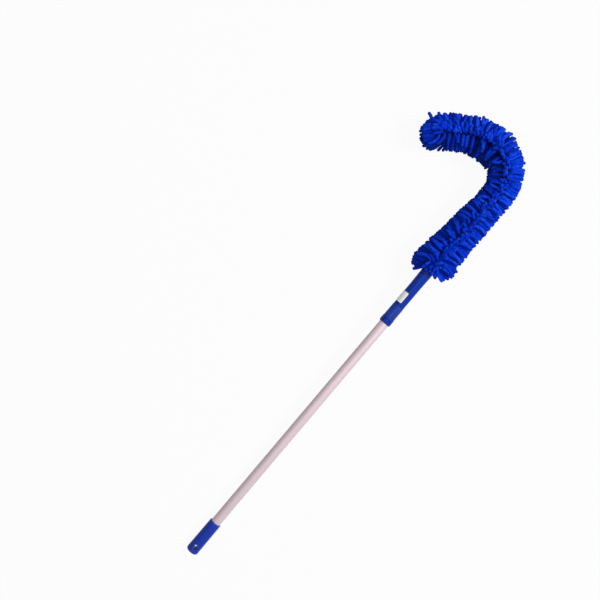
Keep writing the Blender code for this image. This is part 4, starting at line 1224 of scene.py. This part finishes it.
class DUSTER_OT_label(bpy.types.Operator):
    """Make the blank sticker, whose corners are rounded, on the neck."""

    bl_idname = "duster.label"
    bl_label = "Make label"

    def execute(self, context):
        bm = bmesh.new()
        rim = bm.verts.layers.float.new("rim")
        start = SOCKET_END + FIT_GAP + LABEL_FROM_SOCKET
        first, last = (math.radians(degrees) for degrees in LABEL_DEGREES)
        middle, half = (first + last) / 2, (last - first) / 2 * NECK_REAR_RADIUS
        corner = LABEL_CORNER
        ease = [corner * (1 - math.cos(turn)) for turn in np.radians(np.linspace(0, 90, EDGE_STEPS + 1))]
        stations = ease + evenly(corner, LABEL_LENGTH - corner, LABEL_STATIONS)[1:-1]
        stations += [LABEL_LENGTH - at for at in ease[::-1]]
        layers = []
        for level in (1, 0):
            grid = []
            for x in stations:
                inside = max(0.0, corner - min(x, LABEL_LENGTH - x))
                width = half - corner + math.sqrt(corner ** 2 - inside ** 2)
                radius = neck_radius(start + x) + FIT_GAP + LABEL_THICKNESS * (1 + level)
                line = []
                for row in range(LABEL_ROWS + 1):
                    across = width * (2 * row / LABEL_ROWS - 1)
                    angle = middle + across / NECK_REAR_RADIUS
                    vert = bm.verts.new((start + x, radius * math.cos(angle), radius * math.sin(angle)))
                    edge = min(x, LABEL_LENGTH - x, half - abs(across))
                    vert[rim] = max(0.0, 1 - edge / LABEL_RIM)
                    line.append(vert)
                grid.append(line)
            layers.append(grid)
            skin_rings(bm, grid, lambda line, row: row == LABEL_ROWS)
        # The sticker's edge joins the outlines of its two faces.
        skin_rings(bm, [[line[0] for line in grid] + grid[-1][1:] + [line[-1] for line in grid[-2::-1]]
                        + grid[0][-2:0:-1] for grid in layers])
        piece = add_piece("neck_label", pole_mesh(bm, "neck_label"), ["label paper"], "white_label", "label")
        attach(piece, "inner_pole")
        return {"FINISHED"}


class DUSTER_OT_cuff(bpy.types.Operator):
    """Make the ribbed elastic cuff on the neck."""

    bl_idname = "duster.cuff"
    bl_label = "Make cuff"

    def execute(self, context):
        inner = NECK_RADIUS + FIT_GAP
        thick = CUFF_RADIUS - inner
        profile = []
        for share in evenly(0, 1, CUFF_RINGS):
            swell = math.sin(math.pi * share) ** CUFF_ROUNDING if 0 < share < 1 else 0.0
            swell += CUFF_SWELL * math.exp(-((share - CUFF_SWELL_AT) / CUFF_SWELL_OVER) ** 2)
            profile.append((CUFF_END + (CUFF_START - CUFF_END) * share, inner + thick * (0.45 + 0.55 * swell)))
        profile += [(CUFF_START, inner), (CUFF_END, inner)]
        bm = bmesh.new()
        rings = profile_rings(bm, profile, CUFF_STEPS)
        for ring in rings[:-2]:
            for step, vert in enumerate(ring):
                wave = math.cos(math.tau * CUFF_RIBS * step / CUFF_STEPS)
                radius = math.hypot(vert.co.y, vert.co.z)
                size = (radius - thick * CUFF_RIB_DEPTH * (1 - wave)) / radius
                vert.co.y *= size
                vert.co.z *= size
        skin_rings(bm, rings + rings[:1])
        mesh = pole_mesh(bm, "knitted_cuff")
        x, y, z = stored_places(mesh.attributes["pole_place"].data, "vector").T
        store(mesh, "knit_place", np.stack([np.arctan2(z, y) * inner, x, 0 * x], -1))
        piece = add_piece("knitted_cuff", mesh, ["knitted hem"], "blue_fabric", "sleeve_cuff")
        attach(piece, "inner_pole")
        return {"FINISHED"}


class DUSTER_OT_head(bpy.types.Operator):
    """Make the chenille sleeve, one piece for each bend of the core."""

    bl_idname = "duster.head"
    bl_label = "Make chenille head"

    def execute(self, context):
        core = Core()
        plan = HeadPlan(core, context.scene.duster_head)
        bodies = ["inner_pole"] + [f"seg_{number:02d}" for number in range(1, len(BENDS) + 1)]
        last = len(BENDS)
        half = float(core.way(2.0) - core.way(1.0)) * BLEND_REACH
        for number in range(1, last + 1):
            first_way = 0.0 if number == 1 else float(core.way(number - 0.5))
            last_way = core.length if number == last else float(core.way(number + 0.5))
            name = f"chenille_{number:02d}"
            mesh, slots = head_mesh(name, core, plan, first_way, last_way)
            finishes = ["chenille pile", "knitted backing"]
            piece = add_piece(name, mesh, finishes, "blue_chenille", f"sleeve_{number - 1:02d}", f"sleeve_{number:02d}")
            mesh.polygons.foreach_set("material_index", slots)
            middle = float(core.way(float(number)))
            start, end = (to_world(core.place(middle + step, 0.0, 0.0, 0.0)) for step in (-half, half))
            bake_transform(piece, bodies[number - 1], bodies[number], start=tuple(start), end=tuple(end))
        return {"FINISHED"}


class DUSTER_OT_stage(bpy.types.Operator):
    """Set the floor, the soft studio light and the camera."""

    bl_idname = "duster.stage"
    bl_label = "Set stage"

    def execute(self, context):
        scene, stage = context.scene, context.scene.duster_stage
        scene.view_settings.view_transform = "Standard"

        camera = linked("camera", bpy.data.cameras.new("camera"))
        camera.data.lens = stage.lens
        camera.data.sensor_width = 36.0
        turn = Matrix((PICTURE_AXES @ POLE_AXES).tolist()).transposed().to_4x4()
        turn.translation = to_world(PICTURE_MIDDLE + PICTURE_AXES[2] * stage.distance)
        camera.matrix_world = turn
        scene.camera = camera

        target = Vector(to_world(PICTURE_MIDDLE))
        for name, power, size, offset in (("key", stage.key_power, KEY_SIZE, KEY_OFFSET),
                                          ("top", stage.top_power, TOP_SIZE, TOP_OFFSET)):
            light = bpy.data.lights.new(name, "AREA")
            light.energy, light.size = power, size
            lamp = linked(name, light)
            lamp.location = to_world(PICTURE_MIDDLE + np.array(offset) @ PICTURE_AXES)
            lamp.rotation_euler = (target - lamp.location).to_track_quat("-Z", "Y").to_euler()

        world = bpy.data.worlds.new("studio")
        scene.world = world
        finish = Finish(world)
        white, even = (finish.node("ShaderNodeBackground", None, {"Color": WHITE, "Strength": strength})[0]
                       for strength in (1.0, stage.ambient))
        finish.mixed("ShaderNodeOutputWorld", finish.seen(), even, white)

        bm = bmesh.new()
        bmesh.ops.create_grid(bm, x_segments=8, y_segments=8, size=FLOOR_REACH)
        mesh = mesh_of(bm, "studio_floor")
        floor = linked("studio_floor", mesh)
        finish = new_finish("studio floor")
        diffuse = finish.node("ShaderNodeBsdfDiffuse", None, {"Color": paint(stage.floor_colour)})[0]
        glow = finish.node("ShaderNodeEmission", None, {"Color": WHITE, "Strength": 1.0})[0]
        finish.mixed("ShaderNodeOutputMaterial", finish.seen() * FLOOR_GLOW, diffuse, glow)
        mesh.materials.append(finish.owner)
        return {"FINISHED"}


class DUSTER_PT_panel(bpy.types.Panel):
    """The steps, in order."""

    bl_idname = "DUSTER_PT_panel"
    bl_label = "Duster"
    bl_space_type = "VIEW_3D"
    bl_region_type = "UI"
    bl_category = "Duster"

    def draw(self, context):
        for step in STEPS:
            self.layout.operator(step.bl_idname)
        for group in (context.scene.duster_colours, context.scene.duster_head, context.scene.duster_stage):
            box = self.layout.box()
            for name in group.__annotations__:
                box.prop(group, name)


STEPS = (DUSTER_OT_finishes, DUSTER_OT_stage, DUSTER_OT_grip, DUSTER_OT_tubes, DUSTER_OT_mouldings, DUSTER_OT_label,
         DUSTER_OT_cuff, DUSTER_OT_head)
GROUPS = {"duster_colours": DusterColours, "duster_head": DusterHead, "duster_stage": DusterStage}


def register():
    for part in (*GROUPS.values(), *STEPS, DUSTER_PT_panel):
        bpy.utils.register_class(part)
    for name, group in GROUPS.items():
        setattr(bpy.types.Scene, name, PointerProperty(type=group))


def unregister():
    for name in GROUPS:
        delattr(bpy.types.Scene, name)
    for part in (DUSTER_PT_panel, *reversed(STEPS), *GROUPS.values()):
        bpy.utils.unregister_class(part)


def main():
    register()
    for step in STEPS:
        group, name = step.bl_idname.split(".")
        getattr(getattr(bpy.ops, group), name)()


if __name__ == "__main__":
    main()
